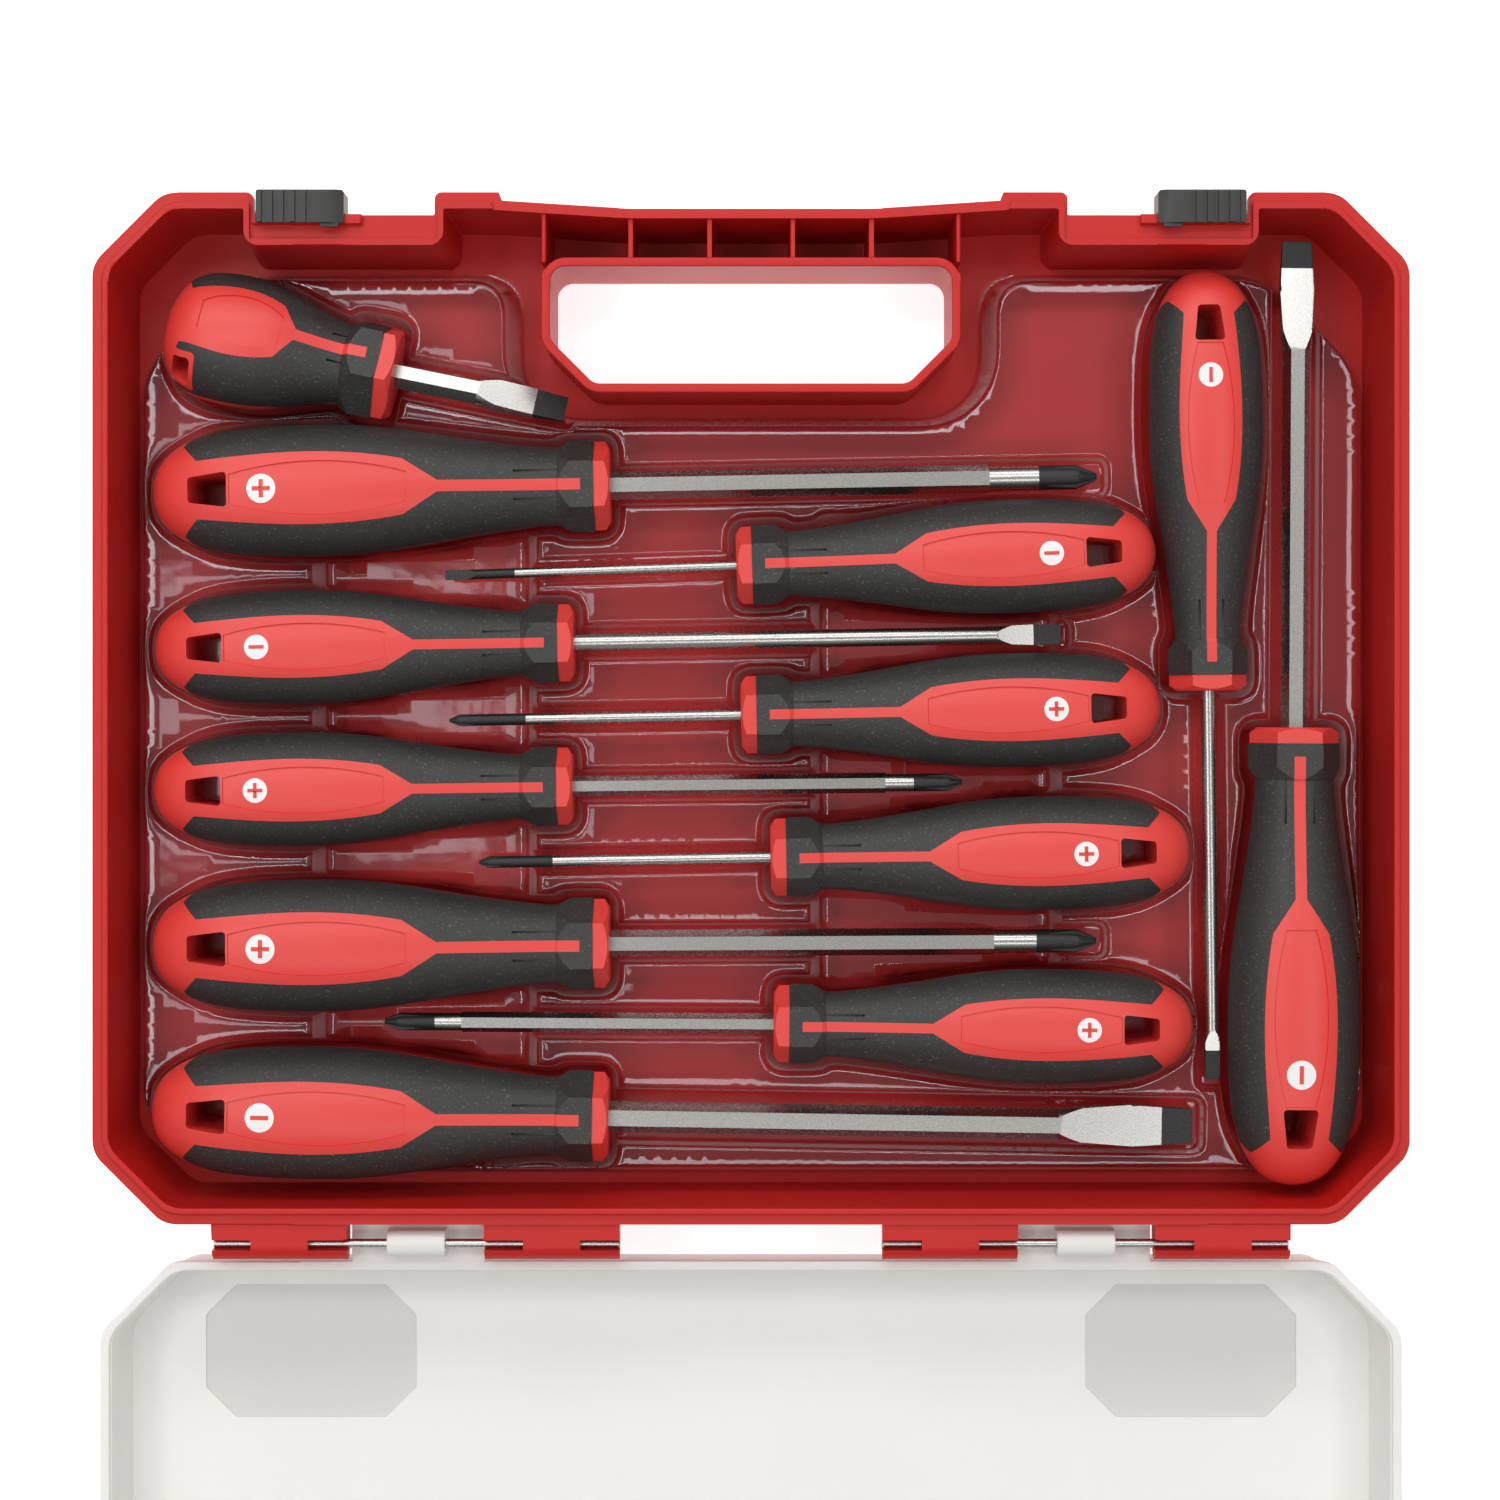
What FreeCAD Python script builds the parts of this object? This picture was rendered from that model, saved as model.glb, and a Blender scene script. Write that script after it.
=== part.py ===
import FreeCAD, Part
import math
import os
from FreeCAD import Vector

# Screwdriver case, sizes in millimetres
# X runs left to right, Y from the hinge to the handle, Z up from the underside of the base

# Case outline
CASE_WIDTH = 333.2
CASE_DEPTH = 261.0
CORNER_CUT = 18.0
CORNER_ROUND = 8.0

# Base
RIM_Z = 36.0
FLANGE_THICK = 3.0
FLANGE_REACH = 2.3
WALL = 2.0
WALL_LEAN = 1.2
CAVITY_LEAN = 1.7
FLOOR = 2.2
LIP_HEIGHT = 1.5
LIP_WIDTH = 1.6

# Handle bar and hand window
BAR_HALF = 31.4
BAR_DIP = 4.1
BAR_END_DIP = 2.1
BAR_WALL = 2.4
PAD_INNER = 63.8
WINDOW_WIDTH = 101.6
WINDOW_HEIGHT = 29.6
WINDOW_FROM_EDGE = 18.7
WINDOW_WALL = 2.3
WINDOW_CUT = 11.0
WINDOW_ROUND = 4.0
RIB_THICK = 1.2
RIB_DROP = 1.2
RIB_PLACES = (10.5, 30.5, 52.5)

# Latch recess and latch
RECESS_INNER = 80.0
RECESS_WIDTH = 45.8
RECESS_DEEP = 5.8
RECESS_SIDE = 2.3
SHELF_WIDTH = 7.7
RAIL_LENGTH = 27.5
RAIL_HEIGHT = 2.5
RAIL_WIDTH = 2.5
LATCH_LENGTH = 22.0
LATCH_END_GAP = 1.3
LATCH_TOP = 2.7
LATCH_FOOT = 2.4
LATCH_BITE = 1.9
LATCH_HOOK = 4.6
GRIP_GROOVES = 5
GROOVE_PITCH = 2.8
GROOVE_WIDTH = 1.2
GROOVE_DEEP = 0.7
RAMP_LENGTH = 4.0
RAMP_DROP = 2.0
SLIDE_GAP = 0.3

# Hinge
HINGE_OUT = 5.5
HINGE_DROP = 5.0
HINGE_CENTRE = 85.0
KNUCKLE_WIDTH = 34.3
KNUCKLE_RADIUS = 4.0
KNUCKLE_WINDOW = 9.9
KNUCKLE_BRIDGE = 0.6
TAB_WIDTH = 34.2
TAB_GAP = 0.25
TAB_THICK = 2.0
TAB_TAIL = 4.5
BARREL_WIDTH = 14.8
BARREL_RADIUS = 3.3
PIN_DIAMETER = 2.4
PIN_FIT = 0.02
PIN_RUNNING_FIT = 0.06

# Lid
LID_WALL = 2.0
LID_LEAN = 1.6
LID_FLANGE = 2.5
LID_SEAM = 0.2
LIP_CLEARANCE = 0.3
PAD_PLACE = 115.6
PAD_WIDTH = 55.4
PAD_LENGTH = 35.0
PAD_FROM_EDGE = 9.8
PAD_CUT = 8.0
PAD_DEEP = 0.7

# Tray
TRAY_THICK = 0.6
WEB_HEIGHT = 17.8
WEB_MARGIN = 9.6
WEB_MARGIN_HINGE = 12.0
WEB_MARGIN_HANDLE = 20.1
WEB_CUT = 14.5
WEB_CUT_HANDLE = 23.5
WEB_ROUND = 5.0
SKIRT_LEAN = 2.4
SKIRT_FOOT = 1.0
WINDOW_MARGIN = 10.0
POCKET_GAP = 1.9
BUTT_GAP = 0.9
CHANNEL_GAP = 1.8
SEAT_GAP = 0.3
POCKET_STATIONS = (0.027, 0.131, 0.243, 0.374, 0.486, 0.598, 0.71, 0.88)
TROUGH_DEEP = 11.0
TROUGH_LEAN = 2.0
TROUGH_ROUND = 3.0
LEFT_TROUGH_IN = 53.6
LEFT_TROUGH_WIDTH = 57.5
LEFT_TROUGH_LOW = 18.5
LEFT_TROUGH_LENGTH = 162.0
RIGHT_TROUGH_IN = 86.6
RIGHT_TROUGH_WIDTH = 64.5
RIGHT_TROUGH_LOW = 44.5
RIGHT_TROUGH_LENGTH = 136.0

# Drivers
AXIS_Z = 21.0
LOBE_DEPTH = 0.045
NECK_LOBE = 0.02
GRIP_SKIN = 1.5
LABEL_DEEP = 0.5
GROOVE_START = 0.87
NECK_GROOVE_PLACE = 0.36
NECK_GROOVE_WIDTH = 0.6
NECK_GROOVE_DEEP = 0.45
HOLE_ROUND = 1.0
HOLE_BORDER = 1.2
TANG_FIT = 0.02
LARGE_LENGTH = 117.5
LARGE_SWELL = 33.5
LARGE_NECK = 20.1
LARGE_COLLAR = 20.4
MEDIUM_LENGTH = 107.8
MEDIUM_SWELL = 28.9
MEDIUM_NECK = 16.7
MEDIUM_COLLAR = 17.7
STUBBY_LENGTH = 60.0
STUBBY_SWELL = 33.7
STUBBY_NECK = 20.5
STUBBY_COLLAR = 22.5
COLLAR_WIDTH = 7.0
BOLSTER_WIDTH = 4.0
BOLSTER_CHAMFER = 1.6
COLLAR_CHAMFER = 1.1
COLLAR_FLARE = 2.4

# Worked out from the sizes above
HALF_WIDTH = CASE_WIDTH / 2
HALF_DEPTH = CASE_DEPTH / 2
RECESS_OUTER = RECESS_INNER + RECESS_WIDTH
HINGE_Y = -HALF_DEPTH - HINGE_OUT
HINGE_Z = RIM_Z - HINGE_DROP
PIN_RADIUS = PIN_DIAMETER / 2
PIN_LENGTH = 2 * KNUCKLE_WIDTH + TAB_WIDTH + 2 * TAB_GAP
LID_DEPTH = RIM_Z - 2 * HINGE_DROP
LID_RIM_Z = RIM_Z + LID_SEAM
LID_TOP_Z = RIM_Z + LID_DEPTH
WINDOW_HIGH = HALF_DEPTH - WINDOW_FROM_EDGE
WINDOW_LOW = WINDOW_HIGH - WINDOW_HEIGHT
LIP_INSET = FLANGE_REACH + WALL - LIP_WIDTH
WEB_Z = FLOOR + WEB_HEIGHT

# Insets of the rim outline, one for each kind of edge
FLANGE_EDGE = {"plain": 0.0, "side": 0.0, "shelf": 0.0, "bar": 0.0}
WALL_EDGE = {"plain": FLANGE_REACH, "side": 0.3, "shelf": FLANGE_REACH, "bar": 0.3}
CAVITY_EDGE = {"plain": FLANGE_REACH + WALL, "side": RECESS_SIDE, "shelf": SHELF_WIDTH, "bar": BAR_WALL}
LIP_EDGE = {"plain": LIP_INSET, "side": RECESS_SIDE - 1.4, "shelf": SHELF_WIDTH - LIP_WIDTH,
            "bar": BAR_WALL + 0.5}
LID_EDGE = {"plain": 0.6, "side": 0.2, "shelf": 0.0, "bar": 0.3}
LID_INSIDE_EDGE = {"plain": 0.6 + LID_WALL, "side": 0.2 + LID_WALL, "shelf": LID_WALL, "bar": BAR_WALL}
LID_REBATE_EDGE = {"plain": LIP_INSET - LIP_CLEARANCE, "side": RECESS_SIDE - 1.4 - LIP_CLEARANCE,
                   "shelf": LID_WALL, "bar": BAR_WALL}


class Handle:
    """Sizes of one kind of handle, with its outline from the butt to the collar."""

    RISE = ((0.0, 0.07), (0.0065, 0.25), (0.027, 0.49), (0.08, 0.74), (0.131, 0.866), (0.243, 0.973),
            (0.374, 1.0))
    FALL = ((0.486, 0.963), (0.598, 0.784), (0.71, 0.5), (0.822, 0.231), (0.935, 0.022), (1.0, 0.0))
    PANEL = ((0.121, 0.442), (0.224, 0.501), (0.327, 0.543), (0.477, 0.531), (0.61, 0.424))

    def __init__(self, length, swell, neck, collar, stripe, tang, facing):
        self.length = length
        self.swell = swell / 2
        self.neck = neck / 2
        self.collar = collar
        self.stripe = stripe
        self.tang = tang
        self.facing = facing
        self.body = length - BOLSTER_WIDTH - COLLAR_WIDTH + 0.5

    def stations(self):
        """List of (x, radius, lobe depth) along the body."""
        rows = []
        for share, height in self.RISE:
            rows.append((share * self.body, height * self.swell, LOBE_DEPTH))
        for share, height in self.FALL:
            lobe = NECK_LOBE + (LOBE_DEPTH - NECK_LOBE) * height
            rows.append((share * self.body, self.neck + (self.swell - self.neck) * height, lobe))
        return rows

    def radius_at(self, share):
        """Radius at a share of the body's length, between the two nearest stations."""
        rows = self.stations()
        x = share * self.body
        for before, after in zip(rows, rows[1:]):
            if x <= after[0]:
                part = (x - before[0]) / (after[0] - before[0])
                return before[1] + part * (after[1] - before[1])
        return self.neck

    def deepest(self):
        """Distance from the axis to the crest of a lobe."""
        return self.swell * (1 + LOBE_DEPTH)


LARGE = Handle(LARGE_LENGTH, LARGE_SWELL, LARGE_NECK, LARGE_COLLAR, 2.9, 55.0, 0)
MEDIUM = Handle(MEDIUM_LENGTH, MEDIUM_SWELL, MEDIUM_NECK, MEDIUM_COLLAR, 2.5, 50.0, 0)
STUBBY = Handle(STUBBY_LENGTH, STUBBY_SWELL, STUBBY_NECK, STUBBY_COLLAR, 2.9, 26.0, 120)


class Driver:
    """One driver: handle, blade and the place of its butt in the case."""

    def __init__(self, name, handle, butt, turn, roll, reach, shaft, tip):
        self.name = name
        self.handle = handle
        self.butt = butt
        self.turn = turn
        self.roll = roll
        self.reach = reach
        self.shaft = shaft
        self.tip = tip


def from_left(distance):
    """X of a place measured from the left edge of the rim."""
    return -HALF_WIDTH + distance


def from_right(distance):
    """X of a place measured from the right edge of the rim."""
    return HALF_WIDTH - distance


def from_hinge(distance):
    """Y of a place measured from the hinge edge of the rim."""
    return -HALF_DEPTH + distance


def from_handle(distance):
    """Y of a place measured from the handle edge of the rim."""
    return HALF_DEPTH - distance


# Blade bars: form and size across the flats or the diameter
# Blade tips: form, then for a slotted tip its widest and its end width
CROSS = ("cross", 0.0, 0.0)
DRIVERS = (
    Driver("stubby_slotted", STUBBY, (from_left(16.5), from_handle(33.0)), -11.4, -138.0, 44.5,
           ("hex", 6.0), ("slot", 7.2, 6.6)),
    Driver("large_cross_back", LARGE, (from_left(13.0), from_hinge(185.6)), 1.07, 0.0, 125.0,
           ("hex", 6.3), CROSS),
    Driver("small_slotted", MEDIUM, (from_right(62.6), from_hinge(170.8)), 181.9, 0.0, 75.0,
           ("round", 2.5), ("slot", 2.5, 2.5)),
    Driver("medium_slotted", MEDIUM, (from_left(13.4), from_hinge(145.6)), 0.98, 0.0, 125.0,
           ("round", 4.5), ("slot", 5.2, 5.0)),
    Driver("small_cross_back", MEDIUM, (from_right(61.4), from_hinge(130.9)), 181.1, 0.0, 75.0,
           ("round", 3.0), CROSS),
    Driver("medium_cross_left", MEDIUM, (from_left(13.1), from_hinge(109.4)), 0.6, 0.0, 100.0,
           ("hex", 4.5), CROSS),
    Driver("small_cross_front", MEDIUM, (from_right(53.8), from_hinge(94.1)), 181.0, 0.0, 75.0,
           ("round", 3.0), CROSS),
    Driver("large_cross_front", LARGE, (from_left(12.8), from_hinge(69.5)), 0.3, 0.0, 125.0,
           ("hex", 6.0), CROSS),
    Driver("medium_cross_right", MEDIUM, (from_right(53.0), from_hinge(48.8)), 179.66, 0.0, 100.0,
           ("hex", 4.5), CROSS),
    Driver("large_slotted_long", LARGE, (from_left(12.6), from_hinge(27.5)), -0.95, 0.0, 150.0,
           ("hex", 7.0), ("slot", 10.8, 8.8)),
    Driver("medium_slotted_side", MEDIUM, (from_right(50.4), from_handle(18.1)), -89.3, 0.0, 100.0,
           ("round", 3.6), ("slot", 4.0, 3.8)),
    Driver("large_slotted_side", LARGE, (from_right(27.6), from_hinge(8.1)), 89.67, 0.0, 125.0,
           ("hex", 6.0), ("slot", 8.8, 7.6)),
)


def moved_corner(before, here, after, step_before, step_after):
    """Corner of an outline whose two edges are each moved inwards by a step."""
    first = (here - before).normalize()
    second = (after - here).normalize()
    first_side = Vector(-first.y, first.x, 0)
    second_side = Vector(-second.y, second.x, 0)
    cross = first.x * second.y - first.y * second.x
    start = here + first_side * step_before
    if abs(cross) < 1e-6:
        return start
    gap = here + second_side * step_after - start
    return start + first * ((gap.x * second.y - gap.y * second.x) / cross)


def inset(corners, steps):
    """Outline with edge number i, from corner i to the next, moved inwards by step i."""
    count = len(corners)
    moved = []
    for i in range(count):
        after = corners[(i + 1) % count]
        moved.append(moved_corner(corners[i - 1], corners[i], after, steps[i - 1], steps[i]))
    return moved


def rounded_wire(corners, radii, z):
    """Closed wire through the corners at height z, with an arc at each corner that has a radius."""
    count = len(corners)
    bends = []
    for i in range(count):
        here = Vector(corners[i].x, corners[i].y, z)
        back = (corners[i - 1] - corners[i]).normalize()
        ahead = (corners[(i + 1) % count] - corners[i]).normalize()
        half = back.getAngle(ahead) / 2
        radius = radii[i]
        if radius <= 0 or half > math.pi / 2 - 1e-4:
            bends.append((here, None, here))
            continue
        cut = radius / math.tan(half)
        middle = (back + ahead).normalize() * (radius / math.sin(half) - radius)
        bends.append((here + back * cut, here + middle, here + ahead * cut))
    edges = []
    for i in range(count):
        start = bends[i - 1][2]
        first, middle, last = bends[i]
        if start.distanceToPoint(first) > 1e-6:
            edges.append(Part.makeLine(start, first))
        if middle is not None:
            edges.append(Part.Arc(first, middle, last).toShape())
    return Part.Wire(edges)


def prism(corners, radii, low, high):
    """Upright solid on an outline."""
    face = Part.Face(rounded_wire(corners, radii, low))
    return face.extrude(Vector(0, 0, high - low))


def leaning_prism(low_corners, high_corners, radii, low, high):
    """Solid between two like outlines at two heights."""
    wires = [rounded_wire(low_corners, radii, low), rounded_wire(high_corners, radii, high)]
    return Part.makeLoft(wires, True, True)


def rod(radius, x0, length, y=0.0, z=0.0):
    """Round bar along X."""
    return Part.makeCylinder(radius, length, Vector(x0, y, z), Vector(1, 0, 0))


def flat(corners):
    """Plane face on straight edges through the corners."""
    return Part.Face(Part.makePolygon(corners + corners[:1]))


def box(x0, x1, y0, y1, z0, z1):
    """Box between two corners."""
    return Part.makeBox(x1 - x0, y1 - y0, z1 - z0, Vector(x0, y0, z0))


def fuse_all(shapes):
    """One solid from shapes that touch or overlap."""
    whole = shapes[0].fuse(shapes[1:])
    return whole.removeSplitter()


def mirrored_x(shape):
    """Copy of a shape on the other side of the middle plane."""
    return shape.mirror(Vector(0, 0, 0), Vector(1, 0, 0))


def rim_half(recess_deep):
    """Right half of the rim outline: x, y, corner radius, kind of the edge that follows."""
    recess_y = HALF_DEPTH - recess_deep
    return [
        (HALF_WIDTH - CORNER_CUT, -HALF_DEPTH, CORNER_ROUND, "plain"),
        (HALF_WIDTH, -HALF_DEPTH + CORNER_CUT, CORNER_ROUND, "plain"),
        (HALF_WIDTH, HALF_DEPTH - CORNER_CUT, CORNER_ROUND, "plain"),
        (HALF_WIDTH - CORNER_CUT, HALF_DEPTH, CORNER_ROUND, "plain"),
        (RECESS_OUTER, HALF_DEPTH, 1.8, "side"),
        (RECESS_OUTER, recess_y, 0.4, "shelf"),
        (RECESS_INNER, recess_y, 0.4, "side"),
        (RECESS_INNER, HALF_DEPTH, 1.8, "plain"),
        (PAD_INNER, HALF_DEPTH, 0.0, "bar"),
        (PAD_INNER - 0.8, HALF_DEPTH - BAR_END_DIP, 0.0, "bar"),
        (BAR_HALF, HALF_DEPTH - BAR_DIP, 60.0, "bar"),
    ]


def rim_outline(edge_insets, lean=0.0, recess_deep=RECESS_DEEP):
    """Whole rim outline moved inwards by the inset of each kind of edge, and by a lean all round."""
    half = rim_half(recess_deep)
    corners = [Vector(row[0], row[1], 0) for row in half]
    corners += [Vector(-row[0], row[1], 0) for row in reversed(half)]
    kinds = [row[3] for row in half]
    kinds += [row[3] for row in reversed(half[:-1])] + ["plain"]
    return inset(corners, [edge_insets[kind] + lean for kind in kinds])


def rim_radii(shelf_round=0.4, side_round=1.8):
    """Corner radii of the rim outline."""
    radii = [row[2] for row in rim_half(RECESS_DEEP)]
    for i in (5, 6):
        radii[i] = shelf_round
    for i in (4, 7):
        radii[i] = side_round
    return radii + radii[::-1]


def window_corners(grow):
    """Outline of the hand window, grown by a wall."""
    half = WINDOW_WIDTH / 2
    corners = [
        Vector(-half + WINDOW_CUT, WINDOW_LOW, 0),
        Vector(half - WINDOW_CUT, WINDOW_LOW, 0),
        Vector(half, WINDOW_LOW + WINDOW_CUT, 0),
        Vector(half, WINDOW_HIGH, 0),
        Vector(-half, WINDOW_HIGH, 0),
        Vector(-half, WINDOW_LOW + WINDOW_CUT, 0),
    ]
    return inset(corners, [-grow] * len(corners))


def window_prism(grow, low, high):
    """Upright solid on the hand window, grown by a wall."""
    radii = [WINDOW_ROUND + grow] * 6
    return prism(window_corners(grow), radii, low, high)


def handle_ribs(low, high):
    """Ribs between the bar wall and the window frame."""
    ribs = []
    start = WINDOW_HIGH + WINDOW_WALL / 2
    for place in RIB_PLACES:
        end = HALF_DEPTH - BAR_END_DIP - BAR_WALL / 2
        if place < BAR_HALF:
            end = HALF_DEPTH - BAR_DIP - BAR_WALL / 2
        rib = box(place - RIB_THICK / 2, place + RIB_THICK / 2, start, end, low, high)
        ribs += [rib, mirrored_x(rib)]
    return ribs


def base_knuckle(x0):
    """One knuckle of the base: open above at both ends and below in the middle."""
    x1 = x0 + KNUCKLE_WIDTH
    wall_y = -HALF_DEPTH + FLANGE_REACH + WALL / 2
    barrel = rod(KNUCKLE_RADIUS, x0, KNUCKLE_WIDTH, HINGE_Y, HINGE_Z)
    arm = box(x0, x1, HINGE_Y, wall_y, HINGE_Z - KNUCKLE_RADIUS, HINGE_Z + KNUCKLE_RADIUS)
    knuckle = barrel.fuse(arm)
    slot = PIN_RADIUS + 0.15
    below0 = x0 + KNUCKLE_WINDOW + KNUCKLE_BRIDGE
    below1 = x1 - KNUCKLE_WINDOW - KNUCKLE_BRIDGE
    above = HINGE_Z + KNUCKLE_RADIUS + 1
    below = HINGE_Z - KNUCKLE_RADIUS - 1
    cuts = [
        box(x0 - 1, x0 + KNUCKLE_WINDOW, HINGE_Y - slot, HINGE_Y + slot, HINGE_Z, above),
        box(x1 - KNUCKLE_WINDOW, x1 + 1, HINGE_Y - slot, HINGE_Y + slot, HINGE_Z, above),
        box(below0, below1, HINGE_Y - slot, HINGE_Y + slot, below, HINGE_Z),
        rod(PIN_RADIUS + PIN_FIT, x0 - 1, KNUCKLE_WIDTH + 2, HINGE_Y, HINGE_Z),
    ]
    return knuckle.cut(cuts)


def build_base():
    """Red base moulding."""
    radii = rim_radii()
    inner_radii = rim_radii(shelf_round=3.6, side_round=0.6)
    wall_low = rim_outline(WALL_EDGE, WALL_LEAN)
    wall = leaning_prism(wall_low, rim_outline(WALL_EDGE), radii, 0, RIM_Z - FLANGE_THICK)
    flange = prism(rim_outline(FLANGE_EDGE), radii, RIM_Z - FLANGE_THICK, RIM_Z)
    lip = prism(rim_outline(LIP_EDGE), rim_radii(side_round=0.6), RIM_Z - 0.5, RIM_Z + LIP_HEIGHT)
    body = wall.fuse([flange, lip])
    cavity_low = rim_outline(CAVITY_EDGE, CAVITY_LEAN)
    cavity_high = rim_outline(CAVITY_EDGE)
    cavity = leaning_prism(cavity_low, cavity_high, inner_radii, FLOOR, RIM_Z + LIP_HEIGHT)
    body = body.cut(cavity).removeSplitter()
    frame = window_prism(WINDOW_WALL, 0, RIM_Z)
    rail_y = HALF_DEPTH - RECESS_DEEP - RAIL_WIDTH
    rail = box(RECESS_OUTER - RAIL_LENGTH, RECESS_OUTER, rail_y, rail_y + RAIL_WIDTH,
               RIM_Z - FLANGE_THICK / 2, RIM_Z + RAIL_HEIGHT)
    pieces = [frame, rail, mirrored_x(rail)] + handle_ribs(FLOOR - 0.5, RIM_Z - RIB_DROP)
    for side in (-1, 1):
        for lead in (-1, 1):
            centre = side * HINGE_CENTRE + lead * (TAB_WIDTH / 2 + TAB_GAP + KNUCKLE_WIDTH / 2)
            pieces.append(base_knuckle(centre - KNUCKLE_WIDTH / 2))
    body = body.fuse(pieces)
    return body.cut(window_prism(0, -1, RIM_Z + LIP_HEIGHT + 1))


def build_pin(centre):
    """Steel hinge pin."""
    pin = rod(PIN_RADIUS, centre - PIN_LENGTH / 2, PIN_LENGTH, HINGE_Y, HINGE_Z)
    ends = [edge for edge in pin.Edges if edge.Curve.TypeId == "Part::GeomCircle"]
    return pin.makeChamfer(PIN_RADIUS * 0.25, ends)


def lid_tab(centre):
    """Hinge tab of the closed lid, with its knuckle."""
    half = TAB_WIDTH / 2
    inner = -HALF_DEPTH + LID_WALL
    plate = box(centre - half, centre + half, HINGE_Y - TAB_TAIL, inner, LID_RIM_Z, LID_RIM_Z + TAB_THICK)
    start = centre - BARREL_WIDTH / 2
    barrel = rod(BARREL_RADIUS, start, BARREL_WIDTH, HINGE_Y, HINGE_Z)
    web = box(start, start + BARREL_WIDTH, HINGE_Y - BARREL_RADIUS, HINGE_Y + BARREL_RADIUS, HINGE_Z,
              LID_RIM_Z + TAB_THICK / 2)
    bore = rod(PIN_RADIUS + PIN_RUNNING_FIT, start - 1, BARREL_WIDTH + 2, HINGE_Y, HINGE_Z)
    return plate.fuse([barrel, web]).cut(bore)


def lid_pad(roof):
    """Shallow chamfered panel sunk into the inside of the lid near the hinge."""
    x0 = PAD_PLACE - PAD_WIDTH / 2
    x1 = PAD_PLACE + PAD_WIDTH / 2
    y0 = -HALF_DEPTH + PAD_FROM_EDGE
    y1 = y0 + PAD_LENGTH
    corners = [Vector(x0 + PAD_CUT, y0, 0), Vector(x1 - PAD_CUT, y0, 0), Vector(x1, y0 + PAD_CUT, 0),
               Vector(x1, y1 - PAD_CUT, 0), Vector(x1 - PAD_CUT, y1, 0), Vector(x0 + PAD_CUT, y1, 0),
               Vector(x0, y1 - PAD_CUT, 0), Vector(x0, y0 + PAD_CUT, 0)]
    return prism(corners, [1.5] * len(corners), roof - 1, roof + PAD_DEEP)


def build_lid():
    """Translucent lid, modelled closed and then laid open beside the base."""
    deep = RECESS_DEEP + SHELF_WIDTH - LIP_WIDTH - LIP_CLEARANCE - LID_WALL
    radii = rim_radii()
    shoulder = LID_RIM_Z + LID_FLANGE
    roof = LID_TOP_Z - LID_WALL
    rebate_top = RIM_Z + LIP_HEIGHT + LIP_CLEARANCE
    outside = leaning_prism(rim_outline(LID_EDGE, 0, deep), rim_outline(LID_EDGE, LID_LEAN, deep), radii,
                            LID_RIM_Z, LID_TOP_Z)
    flange = prism(rim_outline(FLANGE_EDGE, 0, deep), radii, LID_RIM_Z, shoulder)
    inner_radii = rim_radii(side_round=0.6)
    hollow_low = rim_outline(LID_INSIDE_EDGE, 0, deep)
    hollow_high = rim_outline(LID_INSIDE_EDGE, LID_LEAN, deep)
    hollow = leaning_prism(hollow_low, hollow_high, inner_radii, LID_RIM_Z - 1, roof)
    rebate = prism(rim_outline(LID_REBATE_EDGE, 0, deep), inner_radii, LID_RIM_Z - 1, rebate_top)
    lid = outside.fuse(flange).cut([hollow, rebate])
    frame = window_prism(WINDOW_WALL, LID_RIM_Z, LID_TOP_Z - LID_WALL / 2)
    rail_end = RECESS_OUTER - RAIL_LENGTH - SLIDE_GAP
    rail_y = HALF_DEPTH - RECESS_DEEP
    rail_root = HALF_DEPTH - deep - LID_WALL / 2
    rail_start = RECESS_INNER - LID_REBATE_EDGE["side"]
    rail = box(rail_start, rail_end, rail_root, rail_y, LID_RIM_Z, RIM_Z + RAIL_HEIGHT)
    pieces = [frame, rail, mirrored_x(rail), lid_tab(HINGE_CENTRE), lid_tab(-HINGE_CENTRE)]
    pieces += handle_ribs(LID_RIM_Z + RIB_DROP, roof + LID_WALL / 2)
    lid = lid.fuse(pieces)
    cuts = [window_prism(0, LID_RIM_Z - 1, LID_TOP_Z + 1), lid_pad(roof), mirrored_x(lid_pad(roof))]
    lid = lid.cut(cuts).removeSplitter()
    lid.rotate(Vector(0, HINGE_Y, HINGE_Z), Vector(1, 0, 0), 180)
    return lid


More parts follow.
